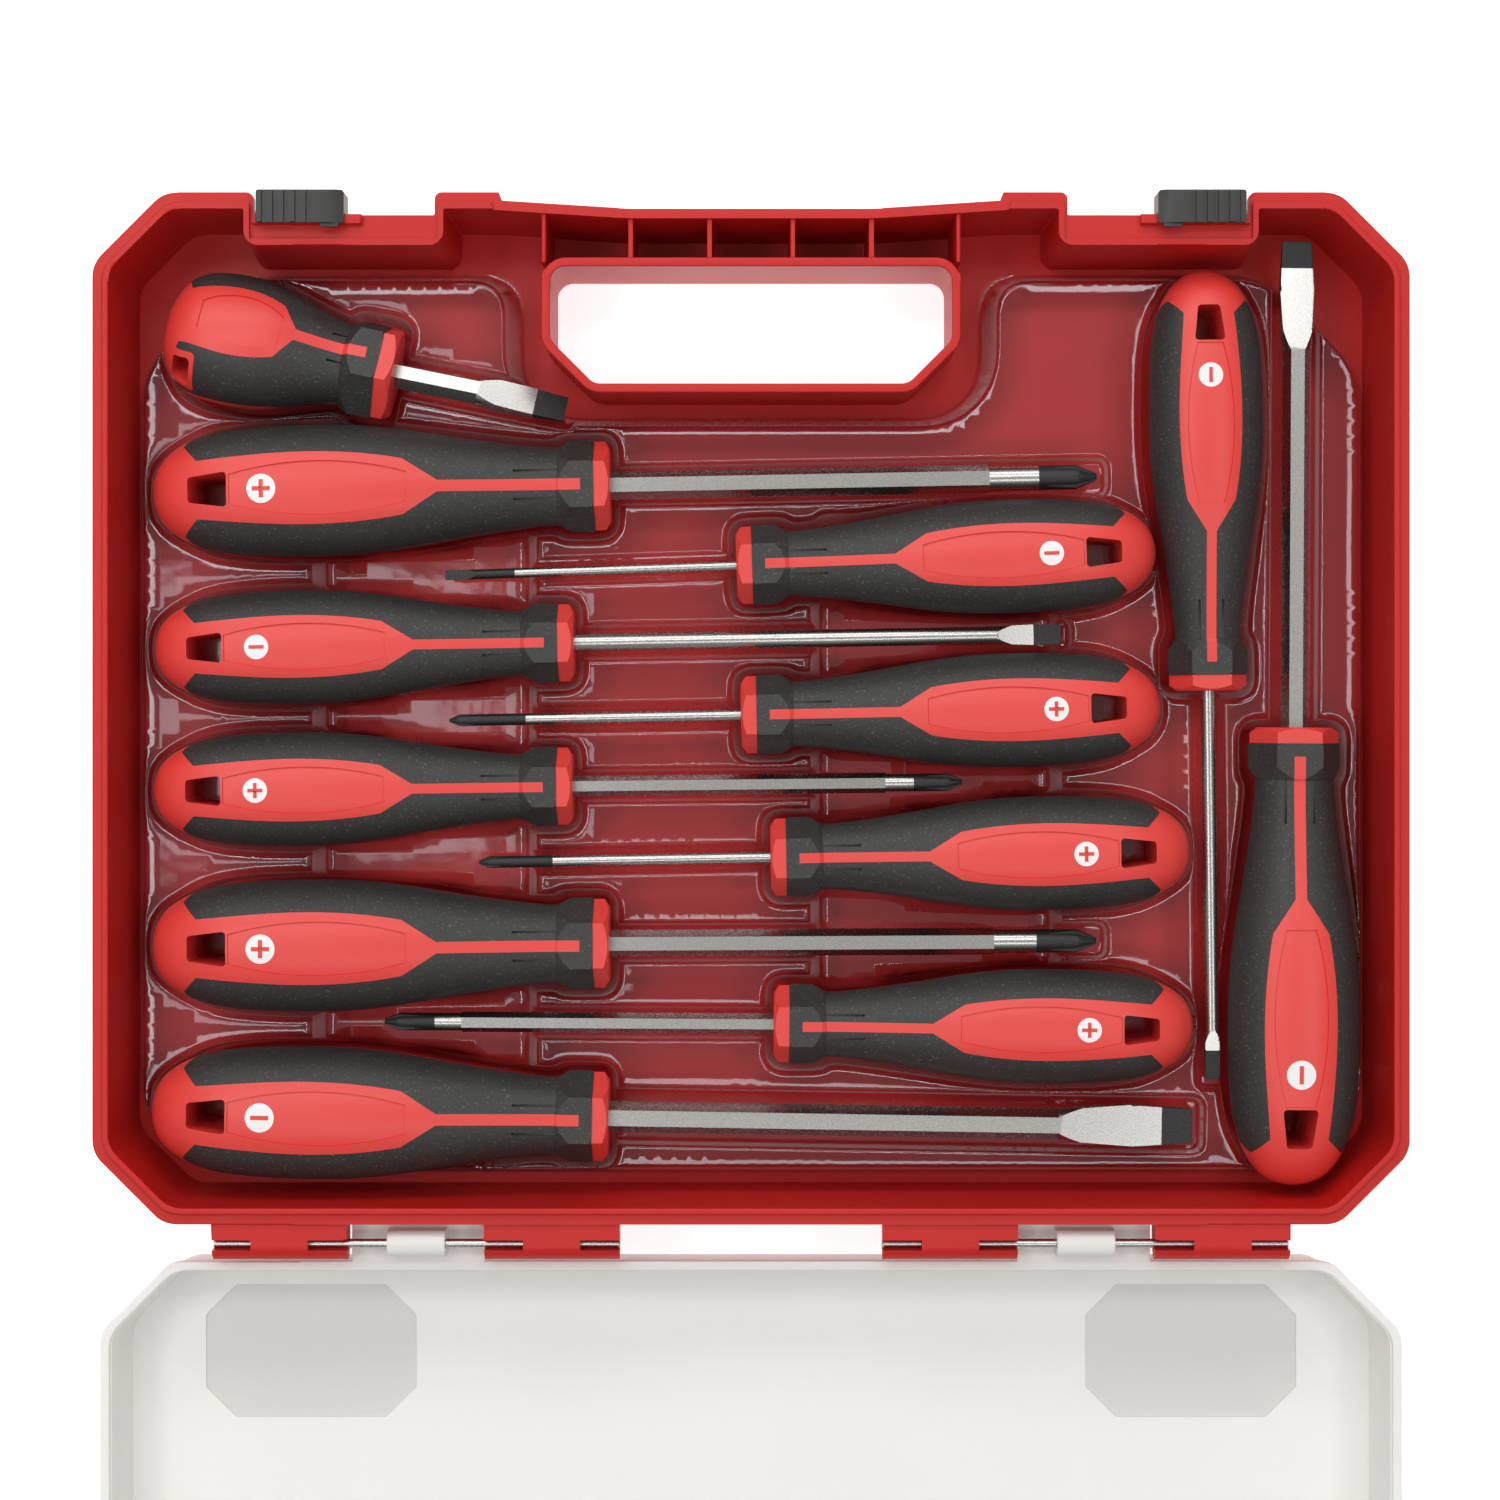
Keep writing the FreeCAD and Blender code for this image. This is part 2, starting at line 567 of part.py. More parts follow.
def build_latch():
    """Black latch of the right side: a channel around the rail and the shelf."""
    outer_y = HALF_DEPTH
    leg_y = HALF_DEPTH - RECESS_DEEP + SLIDE_GAP
    arm_z = RIM_Z + RAIL_HEIGHT + SLIDE_GAP
    top_z = arm_z + LATCH_TOP
    lip_z = RIM_Z - FLANGE_THICK - SLIDE_GAP
    low_z = lip_z - LATCH_FOOT
    arm_y = HALF_DEPTH - RECESS_DEEP - RAIL_WIDTH
    lip_y = leg_y - SLIDE_GAP - LATCH_BITE
    x1 = RECESS_OUTER - LATCH_END_GAP
    x0 = x1 - LATCH_LENGTH
    channel = ((arm_y, arm_z), (leg_y, arm_z), (leg_y, lip_z), (lip_y, lip_z),
               (lip_y, low_z), (outer_y, low_z), (outer_y, top_z), (arm_y, top_z))
    latch = flat([Vector(x0, y, z) for y, z in channel]).extrude(Vector(LATCH_LENGTH, 0, 0))
    outer_edges = [edge for edge in latch.Edges if edge.BoundBox.YMin > outer_y - 0.01]
    latch = latch.makeFillet(0.8, outer_edges)
    hook = box(x0 + 1.3, x0 + 1.3 + LATCH_HOOK, arm_y - 1.0, arm_y + 0.5, arm_z, top_z - 1.0)
    latch = latch.fuse(hook)
    near_y = arm_y - 2
    far_y = outer_y + 2
    ramp = ((x0 - 1, top_z + 0.01), (x0 + RAMP_LENGTH, top_z + 0.01), (x0 - 1, top_z - RAMP_DROP))
    cuts = [flat([Vector(x, near_y, z) for x, z in ramp]).extrude(Vector(0, far_y - near_y, 0))]
    for i in range(GRIP_GROOVES):
        x = x1 - (i + 0.5) * GROOVE_PITCH
        cuts.append(box(x - GROOVE_WIDTH, x, near_y, far_y, top_z - GROOVE_DEEP, top_z + 1))
    return latch.cut(cuts).removeSplitter()


def lobed_wire(x, radius, lobe):
    """Three-lobed section across the handle axis, with a flat on top."""
    points = []
    for i in range(18):
        angle = 2 * math.pi * i / 18
        reach = radius * (1 - lobe * math.cos(3 * (angle - math.pi / 2)))
        points.append(Vector(x, reach * math.cos(angle), reach * math.sin(angle)))
    curve = Part.BSplineCurve()
    curve.interpolate(points, PeriodicFlag=True)
    return Part.Wire(curve.toShape())


def handle_body(handle, shrink):
    """Swelling body of a handle, shrunk evenly for the floor of its label."""
    wires = []
    for x, radius, lobe in handle.stations():
        if radius - shrink > 0.8:
            wires.append(lobed_wire(x, radius - shrink, lobe))
    return Part.makeLoft(wires, True, False)


def turned(profile):
    """Solid of revolution about X, from a half profile of (x, radius)."""
    face = flat([Vector(x, 0, radius) for x, radius in profile])
    return face.revolve(Vector(0, 0, 0), Vector(1, 0, 0), 360)


def hex_prism(flats, x0, x1):
    """Hexagonal bar along the axis with a flat on top."""
    corner = flats / math.sqrt(3)
    points = []
    for i in range(6):
        angle = math.radians(60 * i)
        points.append(Vector(x0, corner * math.cos(angle), corner * math.sin(angle)))
    return flat(points).extrude(Vector(x1 - x0, 0, 0))


def hex_collar(handle, x0, x1):
    """Hexagonal collar of the grip that flares out of the neck, with its front corners taken off."""
    radius = handle.collar / math.sqrt(3)
    start = x0 - COLLAR_FLARE
    profile = ((start, 0), (start, handle.neck), (x0 + COLLAR_CHAMFER, radius),
               (x1 - COLLAR_CHAMFER / 2, radius), (x1, radius - COLLAR_CHAMFER / 2), (x1, 0))
    return hex_prism(handle.collar, start, x1).common(turned(profile))


def inner_core(handle):
    """Round core under the grip, from the butt to past the collar."""
    rows = []
    for x, radius, lobe in handle.stations():
        reach = radius * (1 - lobe) - GRIP_SKIN
        if reach > 1:
            rows.append((x, reach))
    end = handle.body + COLLAR_WIDTH + 1
    rows.append((end, rows[-1][1]))
    return turned([(rows[0][0], 0)] + rows + [(end, 0)])


def neck_grooves(handle):
    """Thin grooves on both sides of each stripe, along the neck."""
    place = NECK_GROOVE_PLACE * handle.neck
    low = math.sqrt(handle.neck ** 2 - place ** 2) - NECK_GROOVE_DEEP
    grooves = []
    half = NECK_GROOVE_WIDTH / 2
    end = handle.body - COLLAR_FLARE
    for turn in (0, 120, 240):
        for side in (-place, place):
            groove = box(GROOVE_START * handle.body, end, side - half, side + half, low, 2 * handle.swell)
            groove.rotate(Vector(0, 0, 0), Vector(1, 0, 0), turn)
            grooves.append(groove)
    return grooves


def bolster(handle):
    """Red end of the handle in front of the collar, with its front corners taken off."""
    x0 = handle.length - BOLSTER_WIDTH - 0.1
    block = hex_prism(handle.collar * 0.97, x0, handle.length)
    radius = handle.collar / math.sqrt(3)
    shoulder = handle.length - BOLSTER_CHAMFER
    front = radius - 1.4 * BOLSTER_CHAMFER
    end = handle.length
    cone = turned(((x0 - 1, 0), (x0 - 1, radius), (shoulder, radius), (end, front), (end, 0)))
    return block.common(cone)


def panel_prism(handle):
    """Upright solid on the red panel that shows on top of the handle, with its stripe to the collar."""
    side = [Vector(share * handle.body, height * handle.swell, 0) for share, height in handle.PANEL]
    curve = Part.BSplineCurve()
    curve.interpolate(side)
    flare = Vector(0.05 * handle.body, 0.9 * handle.swell, 0)
    stripe_start = Vector(0.692 * handle.body, handle.stripe / 2, 0)
    stripe_end = Vector(handle.body + COLLAR_WIDTH * 0.45, handle.stripe / 2, 0)
    upper = [Part.makeLine(flare, side[0]), curve.toShape(), Part.makeLine(side[-1], stripe_start),
             Part.makeLine(stripe_start, stripe_end)]
    half = Part.Wire(upper)
    other = half.mirror(Vector(0, 0, 0), Vector(0, 1, 0))
    closing = [Part.makeLine(end, Vector(end.x, -end.y, 0)) for end in (flare, stripe_end)]
    edges = Part.__sortEdges__(half.Edges + other.Edges + closing)
    return Part.Face(Part.Wire(edges)).extrude(Vector(0, 0, 2 * handle.swell))


def label_prism(handle):
    """Upright solid on the shallow lens in the panel."""
    start = Vector(0.2 * handle.body, 0, 0)
    end = Vector(0.62 * handle.body, 0, 0)
    middle = (start + end) * 0.5
    wide = Vector(0, 0.41 * handle.swell, 0)
    narrow = wide * 0.55
    upper = Part.Arc(start + narrow, middle + wide, end + narrow).toShape()
    lower = Part.Arc(start - narrow, middle - wide, end - narrow).toShape()
    left = Part.makeLine(start + narrow, start - narrow)
    right = Part.makeLine(end + narrow, end - narrow)
    edges = Part.__sortEdges__([upper, right, lower, left])
    return Part.Face(Part.Wire(edges)).extrude(Vector(0, 0, 2 * handle.swell))


def hang_hole(handle):
    """Tapered slot right through the butt."""
    corners = hole_corners(handle)
    return prism(corners, [HOLE_ROUND] * 4, -2 * handle.swell, 2 * handle.swell)


def hole_corners(handle):
    """Outline of the slot through the butt."""
    x0 = 0.1 * handle.body
    x1 = 0.195 * handle.body
    low = 0.19 * handle.swell
    high = 0.27 * handle.swell
    return [Vector(x0, -low, 0), Vector(x1, -high, 0), Vector(x1, high, 0), Vector(x0, low, 0)]


def hole_surround(handle):
    """Part of the lower lobe around the slot, from the butt on, that stays free of the grip."""
    corners = inset(hole_corners(handle), [-HOLE_BORDER] * 4)
    corners[0] = Vector(0, corners[0].y, 0)
    corners[3] = Vector(0, corners[3].y, 0)
    return prism(corners, [HOLE_ROUND] * 4, -2 * handle.swell, 0)


def build_handle(handle):
    """Core and grip of one kind of handle, along X from the butt, with the panel up."""
    collar_end = handle.length - BOLSTER_WIDTH
    collar = hex_collar(handle, collar_end - COLLAR_WIDTH, collar_end)
    outside = handle_body(handle, 0).fuse([collar, bolster(handle)])
    skin_start = 0.06 * handle.body
    skin = rod(2 * handle.swell, skin_start, collar_end - skin_start)
    skin = skin.cut(inner_core(handle))
    for turn in (0, 120, 240):
        panel = panel_prism(handle)
        panel.rotate(Vector(0, 0, 0), Vector(1, 0, 0), turn)
        skin = skin.cut(panel)
    skin = skin.cut(hole_surround(handle))
    hole = hang_hole(handle)
    grip = outside.common(skin).cut(hole)
    core = outside.cut(skin).cut(hole)
    label = label_prism(handle)
    label.rotate(Vector(0, 0, 0), Vector(1, 0, 0), handle.facing)
    label = label.cut(handle_body(handle, LABEL_DEEP))
    return core.cut(label), grip.cut(neck_grooves(handle))


def shaft_bar(shaft, x0, x1, grow=0.0):
    """Straight bar of a blade along X."""
    form, size = shaft
    if form == "hex":
        return hex_prism(size + 2 * grow, x0, x1)
    return rod(size / 2 + grow, x0, x1 - x0)


def cross_tip(shaft, x0, x1):
    """Pointed tip with four flutes."""
    radius = shaft[1] / 2
    point = 0.28 * radius
    cone = 1.7 * radius
    tip = turned(((x0, 0), (x0, radius), (x1 - cone, radius), (x1, point), (x1, 0)))
    flutes = []
    for turn in (45, 135, 225, 315):
        groove = [Vector(x1 + 1, 0, 0.25 * radius), Vector(x1 + 1, radius, 1.6 * radius),
                  Vector(x1 + 1, -radius, 1.6 * radius)]
        flute = flat(groove).extrude(Vector(-4.4 * radius - 1, 0, 0))
        flute.rotate(Vector(x1, 0, 0.25 * radius), Vector(0, 1, 0), 10)
        flute.rotate(Vector(0, 0, 0), Vector(1, 0, 0), turn)
        flutes.append(flute)
    return tip.cut(flutes)


def slot_tip(shaft, tip, x0, x1):
    """Flat tip: a plan outline crossed with a side outline, within a cone that grows out of the bar."""
    radius = shaft[1] / 2
    corner = radius
    if shaft[0] == "hex":
        corner = shaft[1] / math.sqrt(3)
    widest = max(tip[1] / 2, corner)
    end = tip[2] / 2
    thick = max(0.4, 0.11 * tip[2]) / 2
    swell = x0 + 0.55 * (x1 - x0)
    plan = ((x0, -corner), (swell, -widest), (x1, -end), (x1, end), (swell, widest), (x0, corner))
    side = ((x0, -radius), (x1, -thick), (x1, thick), (x0, radius))
    plate = flat([Vector(x, y, -radius) for x, y in plan]).extrude(Vector(0, 0, 2 * radius))
    wedge = flat([Vector(x, -2 * widest, z) for x, z in side]).extrude(Vector(0, 4 * widest, 0))
    cone = turned(((x0, 0), (x0, corner), (swell, 1.5 * widest), (x1, 1.5 * widest), (x1, 0)))
    return plate.common(wedge).common(cone)


def build_blade(driver):
    """Steel blade along X, from the end of its tang in the handle to its tip."""
    start = driver.handle.length - driver.handle.tang
    end = driver.handle.length + driver.reach
    if driver.tip[0] == "cross":
        neck = end - 4.4 * driver.shaft[1]
        tip = cross_tip(("round", driver.shaft[1]), neck, end)
    else:
        neck = end - 3.2 * driver.tip[1]
        tip = slot_tip(driver.shaft, driver.tip, neck, end)
    blade = fuse_all([shaft_bar(driver.shaft, start, neck), tip])
    blade.rotate(Vector(0, 0, 0), Vector(1, 0, 0), driver.handle.facing)
    return blade


def placed(shape, driver):
    """Piece of a driver moved from its own axis to its place in the case."""
    shape = shape.copy()
    shape.rotate(Vector(0, 0, 0), Vector(1, 0, 0), driver.roll)
    shape.rotate(Vector(0, 0, 0), Vector(0, 0, 1), driver.turn)
    shape.translate(Vector(driver.butt[0], driver.butt[1], AXIS_Z))
    return shape


def pocket(driver, grow):
    """Space for one driver in the tray, grown by the sheet."""
    handle = driver.handle
    gap = POCKET_GAP + grow
    half = [(-BUTT_GAP - grow, 0.3 * handle.swell)]
    for share in POCKET_STATIONS:
        half.append((share * handle.body, handle.radius_at(share) + gap))
    collar = handle.collar / math.sqrt(3) + gap
    collar_start = handle.length - BOLSTER_WIDTH - COLLAR_WIDTH - gap
    half.append((collar_start - 1.5, handle.neck + gap))
    half.append((collar_start, collar))
    half.append((handle.length + gap, collar))
    corners = [Vector(x, -y, 0) for x, y in half] + [Vector(x, y, 0) for x, y in reversed(half)]
    bottom = -handle.deepest() - SEAT_GAP - grow
    room = prism(corners, [0.0] * len(corners), bottom, 40)
    width = driver.shaft[1] / 2 + CHANNEL_GAP + grow
    wide = max(width, driver.tip[1] / 2 + CHANNEL_GAP + grow)
    floor = -driver.shaft[1] / 2 - CHANNEL_GAP - grow
    end = handle.length + driver.reach + CHANNEL_GAP + 1.2 + grow
    channel = box(handle.length, end, -wide, wide, floor, 40)
    shape = room.fuse(channel)
    shape.rotate(Vector(0, 0, 0), Vector(0, 0, 1), driver.turn)
    shape.translate(Vector(driver.butt[0], driver.butt[1], AXIS_Z))
    return shape


def trough(x0, width, y0, length, grow):
    """Finger space across the handles, grown by the sheet."""
    x1 = x0 + width
    y1 = y0 + length
    corners = [Vector(x0, y0, 0), Vector(x1, y0, 0), Vector(x1, y1, 0), Vector(x0, y1, 0)]
    top = inset(corners, [-grow] * 4)
    bottom = inset(corners, [TROUGH_LEAN - grow] * 4)
    low = WEB_Z - TROUGH_DEEP - grow
    return leaning_prism(bottom, top, [TROUGH_ROUND] * 4, low, WEB_Z + 1)


def web_corners(grow):
    """Outline of the raised web of the tray."""
    x = HALF_WIDTH - WEB_MARGIN
    low = -HALF_DEPTH + WEB_MARGIN_HINGE
    high = HALF_DEPTH - WEB_MARGIN_HANDLE
    side = WINDOW_WIDTH / 2 + WINDOW_WALL + WINDOW_MARGIN
    under = WINDOW_LOW - WINDOW_WALL - WINDOW_MARGIN * 0.7
    half = [(x - WEB_CUT, low), (x, low + WEB_CUT), (x, high - WEB_CUT_HANDLE), (x - WEB_CUT_HANDLE, high),
            (side, high), (side, under + WINDOW_CUT), (side - WINDOW_CUT, under)]
    corners = [Vector(px, py, 0) for px, py in half] + [Vector(-px, py, 0) for px, py in reversed(half)]
    return inset(corners, [-grow] * len(corners))


def tray_block(grow, top):
    """Raised block of the tray with leaning sides."""
    radii = [WEB_ROUND] * 14
    return leaning_prism(web_corners(SKIRT_LEAN + grow), web_corners(grow), radii, FLOOR, top)


def tray_spaces(grow):
    """All spaces sunk into the web of the tray."""
    spaces = [pocket(driver, grow) for driver in DRIVERS]
    left = from_left(LEFT_TROUGH_IN)
    right = from_right(RIGHT_TROUGH_IN + RIGHT_TROUGH_WIDTH)
    spaces.append(trough(left, LEFT_TROUGH_WIDTH, from_hinge(LEFT_TROUGH_LOW), LEFT_TROUGH_LENGTH, grow))
    spaces.append(trough(right, RIGHT_TROUGH_WIDTH, from_hinge(RIGHT_TROUGH_LOW), RIGHT_TROUGH_LENGTH, grow))
    return spaces


def build_tray():
    """Clear tray formed from one sheet."""
    flange = prism(web_corners(SKIRT_LEAN + SKIRT_FOOT), [WEB_ROUND] * 14, FLOOR, FLOOR + TRAY_THICK)
    solid = tray_block(0, WEB_Z).fuse(flange)
    solid = solid.cut(tray_spaces(0))
    below = tray_block(-TRAY_THICK, WEB_Z - TRAY_THICK)
    below = below.cut(tray_spaces(TRAY_THICK))
    return solid.cut(below).removeSplitter()


def save(name, shape):
    """Write one solid to its file."""
    if len(shape.Solids) == 1:
        shape = shape.Solids[0]
    print(name, shape.isValid(), len(shape.Solids), round(shape.Volume))
    shape.exportStep("parts/" + name + ".step")


def main():
    """Build every piece of the case."""
    os.makedirs("parts", exist_ok=True)
    save("base", build_base())
    save("lid", build_lid())
    save("hinge_pin_left", build_pin(-HINGE_CENTRE))
    save("hinge_pin_right", build_pin(HINGE_CENTRE))
    latch = build_latch()
    save("latch_right", latch)
    save("latch_left", mirrored_x(latch))
    save("tray", build_tray())
    built = {}
    for driver in DRIVERS:
        if driver.handle not in built:
            built[driver.handle] = build_handle(driver.handle)
        core, grip = built[driver.handle]
        start = driver.handle.length - driver.handle.tang
        bore = shaft_bar(driver.shaft, start, driver.handle.length + 1, TANG_FIT)
        save(driver.name + "_core", placed(core.cut(bore), driver))
        save(driver.name + "_grip", placed(grip, driver))
        save(driver.name + "_blade", placed(build_blade(driver), driver))


main()
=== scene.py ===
"""Studio scene of an open screwdriver case with its clear tray and twelve drivers."""

import logging
import math
from dataclasses import dataclass
from enum import Enum

import bmesh
import bpy
import numpy as np
from mathutils import Matrix, Vector
from mathutils.bvhtree import BVHTree
from mathutils.geometry import delaunay_2d_cdt
from mathutils.kdtree import KDTree

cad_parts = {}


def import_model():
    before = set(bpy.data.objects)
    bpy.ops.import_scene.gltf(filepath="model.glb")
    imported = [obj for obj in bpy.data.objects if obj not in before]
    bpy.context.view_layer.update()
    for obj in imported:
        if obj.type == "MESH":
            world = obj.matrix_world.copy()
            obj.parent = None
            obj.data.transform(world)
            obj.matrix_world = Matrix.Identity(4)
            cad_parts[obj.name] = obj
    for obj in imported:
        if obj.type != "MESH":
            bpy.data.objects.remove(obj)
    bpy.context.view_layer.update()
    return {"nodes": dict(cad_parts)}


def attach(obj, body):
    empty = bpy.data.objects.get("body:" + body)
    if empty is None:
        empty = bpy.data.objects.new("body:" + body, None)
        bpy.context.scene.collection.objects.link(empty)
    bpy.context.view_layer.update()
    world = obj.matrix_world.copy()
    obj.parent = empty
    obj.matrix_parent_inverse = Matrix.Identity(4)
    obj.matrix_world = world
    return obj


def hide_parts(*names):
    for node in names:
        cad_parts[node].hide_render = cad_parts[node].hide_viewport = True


LOG = logging.getLogger("screwdriver_case")
MM = 0.001
WELD = 2e-6  # metres within which loose corners are joined
ON_PLANE = 1e-7  # metres within which a corner counts as lying on a cut
FLAT = 0.6  # degrees up to which faces count as one flat
STEPS = 2  # faces across a rounding
ROUNDS = 12  # tries to find the roundings that have room
STRAY = 0.7  # share of the width that a rounding may lie away from the solid
BATCH = 4000  # points whose distances are worked out together
TURNED = -0.2  # cosine below which a face is turned over
Point = tuple[float, float]
Place = tuple[float, float, float]
Colour = tuple[float, float, float]
Cuts = tuple[tuple[int, float], ...]


class Slot(Enum):
    """Material slots of the pieces that are made here."""

    BASE = "base_red"
    TRAY = "tray_clear"
    LID = "lid_frosted"
    LATCH = "latch_black"
    CORE = "handle_red"
    BLADE = "blade_steel"


class Mark(Enum):
    """Sign on the type disc of a driver, by the number of its bars."""

    NONE = 0
    MINUS = 1
    PLUS = 2


class Nodes:
    """Adds and links the nodes of one tree."""

    def __init__(self, tree: bpy.types.NodeTree) -> None:
        """Take over an empty tree."""
        self.tree = tree
        tree.nodes.clear()

    def add(self, kind: str, values: dict[str, object] | None = None, **settings: object) -> bpy.types.Node:
        """Add one node.

        Args:
            kind: Blender's name of the node type.
            values: Input sockets by name, each a constant or a socket to link from.
            settings: Properties of the node itself.

        Returns:
            The new node.
        """
        node = self.tree.nodes.new(kind)
        for name, value in settings.items():
            setattr(node, name, value)
        for name, value in (values or {}).items():
            self.feed(node.inputs[name], value)
        return node

    def feed(self, socket: bpy.types.NodeSocket, value: object) -> None:
        """Link a socket, or set its constant."""
        if isinstance(value, bpy.types.NodeSocket):
            self.tree.links.new(value, socket)
        elif isinstance(value, tuple) and socket.type == "RGBA":
            socket.default_value = (*value, 1.0)
        else:
            socket.default_value = value

    def blend(self, share: bpy.types.NodeSocket, first: object, second: object) -> bpy.types.NodeSocket:
        """Blend two colours, each a constant or a socket.

        Args:
            share: Socket with the share of the second colour.
            first: Colour at a share of nothing.
            second: Colour at a full share.

        Returns:
            Socket of the blended colour.
        """
        node = self.add("ShaderNodeMix", data_type="RGBA")
        for index, value in ((0, share), (6, first), (7, second)):
            self.feed(node.inputs[index], value)
        return node.outputs[2]


def start_material(name: str) -> tuple[bpy.types.Material, Nodes]:
    """New material and the builder of its empty tree."""
    material = bpy.data.materials.new(name)
    material.use_nodes = True
    return material, Nodes(material.node_tree)


class Effects:
    """Shader node groups that more than one finish uses."""

    @staticmethod
    def _group(name: str, inputs: dict[str, float],
               outputs: tuple[str, ...]) -> tuple[bpy.types.NodeTree, Nodes]:
        """Start a group.

        Args:
            name: Name of the group.
            inputs: Float inputs with their usual values.
            outputs: Names of the float outputs.

        Returns:
            The tree and its node builder.
        """
        tree = bpy.data.node_groups.new(name, "ShaderNodeTree")
        for label, value in inputs.items():
            socket = tree.interface.new_socket(label, in_out="INPUT", socket_type="NodeSocketFloat")
            socket.default_value = value
        for label in outputs:
            tree.interface.new_socket(label, in_out="OUTPUT", socket_type="NodeSocketFloat")
        return tree, Nodes(tree)

    @classmethod
    def mould_grain(cls) -> bpy.types.NodeTree:
        """Fine spark-eroded grain of a moulding, with slow cloudy shade and sparse light specks."""
        found = bpy.data.node_groups.get("mould_grain")
        if found:
            return found
        tree, nodes = cls._group("mould_grain", {"Grain": 2500.0, "Cloud": 25.0}, ("Height", "Shade", "Speck"))
        given = nodes.add("NodeGroupInput")
        place = nodes.add("ShaderNodeTexCoord").outputs["Object"]
        fine = nodes.add("ShaderNodeTexNoise", {"Vector": place, "Scale": given.outputs["Grain"],
                                                "Detail": 3.0})
        cloud = nodes.add("ShaderNodeTexNoise", {"Vector": place, "Scale": given.outputs["Cloud"],
                                                 "Detail": 4.0})
        speck = nodes.add("ShaderNodeMapRange", {"Value": fine.outputs["Fac"], "From Min": 0.6,
                                                 "From Max": 0.72})
        nodes.add("NodeGroupOutput", {"Height": fine.outputs["Fac"], "Shade": cloud.outputs["Fac"],
                                      "Speck": speck.outputs["Result"]})
        return tree

    @classmethod
    def brushing(cls) -> bpy.types.NodeTree:
        """Fine drawn grain of a steel bar, along X turned by an angle about Z."""
        found = bpy.data.node_groups.get("brushing")
        if found:
            return found
        tree, nodes = cls._group("brushing", {"Turn": 0.0, "Lines": 3200.0}, ("Height", "Shade"))
        given = nodes.add("NodeGroupInput")
        place = nodes.add("ShaderNodeTexCoord").outputs["Object"]
        back = nodes.add("ShaderNodeVectorRotate", {"Vector": place, "Angle": given.outputs["Turn"]},
                         rotation_type="Z_AXIS")
        drawn = nodes.add("ShaderNodeVectorMath", {0: back.outputs["Vector"], 1: (0.4, 1.0, 1.0)},
                          operation="MULTIPLY")
        lines = nodes.add("ShaderNodeTexNoise", {"Vector": drawn.outputs["Vector"],
                                                 "Scale": given.outputs["Lines"], "Detail": 4.0})
        shade = nodes.add("ShaderNodeMapRange", {"Value": lines.outputs["Fac"], "From Min": 0.35,
                                                 "From Max": 0.65})
        nodes.add("NodeGroupOutput", {"Height": lines.outputs["Fac"], "Shade": shade.outputs["Result"]})
        return tree


@dataclass(frozen=True)
class Moulding:
    """Coloured plastic or rubber with a fine grain."""

    name: str
    colour: Colour
    shade: Colour
    roughness: float
    grain: float = 2500.0
    depth: float = 0.08
    speck: Colour | None = None
    alpha: float = 1.0
    glow: float = 0.0
    sheen: float = 0.5

    def build(self) -> bpy.types.Material:
        """Make the material."""
        material, nodes = start_material(self.name)
        grain = nodes.add("ShaderNodeGroup", node_tree=Effects.mould_grain())
        grain.inputs["Grain"].default_value = self.grain
        colour = nodes.blend(grain.outputs["Shade"], self.shade, self.colour)
        if self.speck:
            colour = nodes.blend(grain.outputs["Speck"], colour, self.speck)
        rough = nodes.add("ShaderNodeMapRange", {"Value": grain.outputs["Shade"],
                                                 "To Min": self.roughness - 0.05,
                                                 "To Max": self.roughness + 0.05})
        bump = nodes.add("ShaderNodeBump", {"Height": grain.outputs["Height"], "Strength": self.depth,
                                            "Distance": 0.0002})
        surface = nodes.add("ShaderNodeBsdfPrincipled", {
            "Base Color": colour, "Roughness": rough.outputs["Result"], "Normal": bump.outputs["Normal"],
            "Alpha": self.alpha, "Specular IOR Level": self.sheen, "Emission Color": (1.0, 1.0, 1.0),
            "Emission Strength": self.glow})
        nodes.add("ShaderNodeOutputMaterial", {"Surface": surface.outputs["BSDF"]})
        return material


@dataclass(frozen=True)
class Steel:
    """Drawn or oxidised steel."""

    name: str
    colour: Colour
    shade: Colour
    roughness: float
    metallic: float
    turn: float = 0.0
    depth: float = 0.012

    def build(self) -> bpy.types.Material:
        """Make the material."""
        material, nodes = start_material(self.name)
        lines = nodes.add("ShaderNodeGroup", node_tree=Effects.brushing())
        lines.inputs["Turn"].default_value = -self.turn
        colour = nodes.blend(lines.outputs["Shade"], self.shade, self.colour)
        rough = nodes.add("ShaderNodeMapRange", {"Value": lines.outputs["Height"],
                                                 "To Min": self.roughness - 0.03,
                                                 "To Max": self.roughness + 0.03})
        bump = nodes.add("ShaderNodeBump", {"Height": lines.outputs["Height"], "Strength": self.depth,
                                            "Distance": 0.0001})
        surface = nodes.add("ShaderNodeBsdfPrincipled", {
            "Base Color": colour, "Metallic": self.metallic, "Roughness": rough.outputs["Result"],
            "Normal": bump.outputs["Normal"]})
        nodes.add("ShaderNodeOutputMaterial", {"Surface": surface.outputs["BSDF"]})
        return material


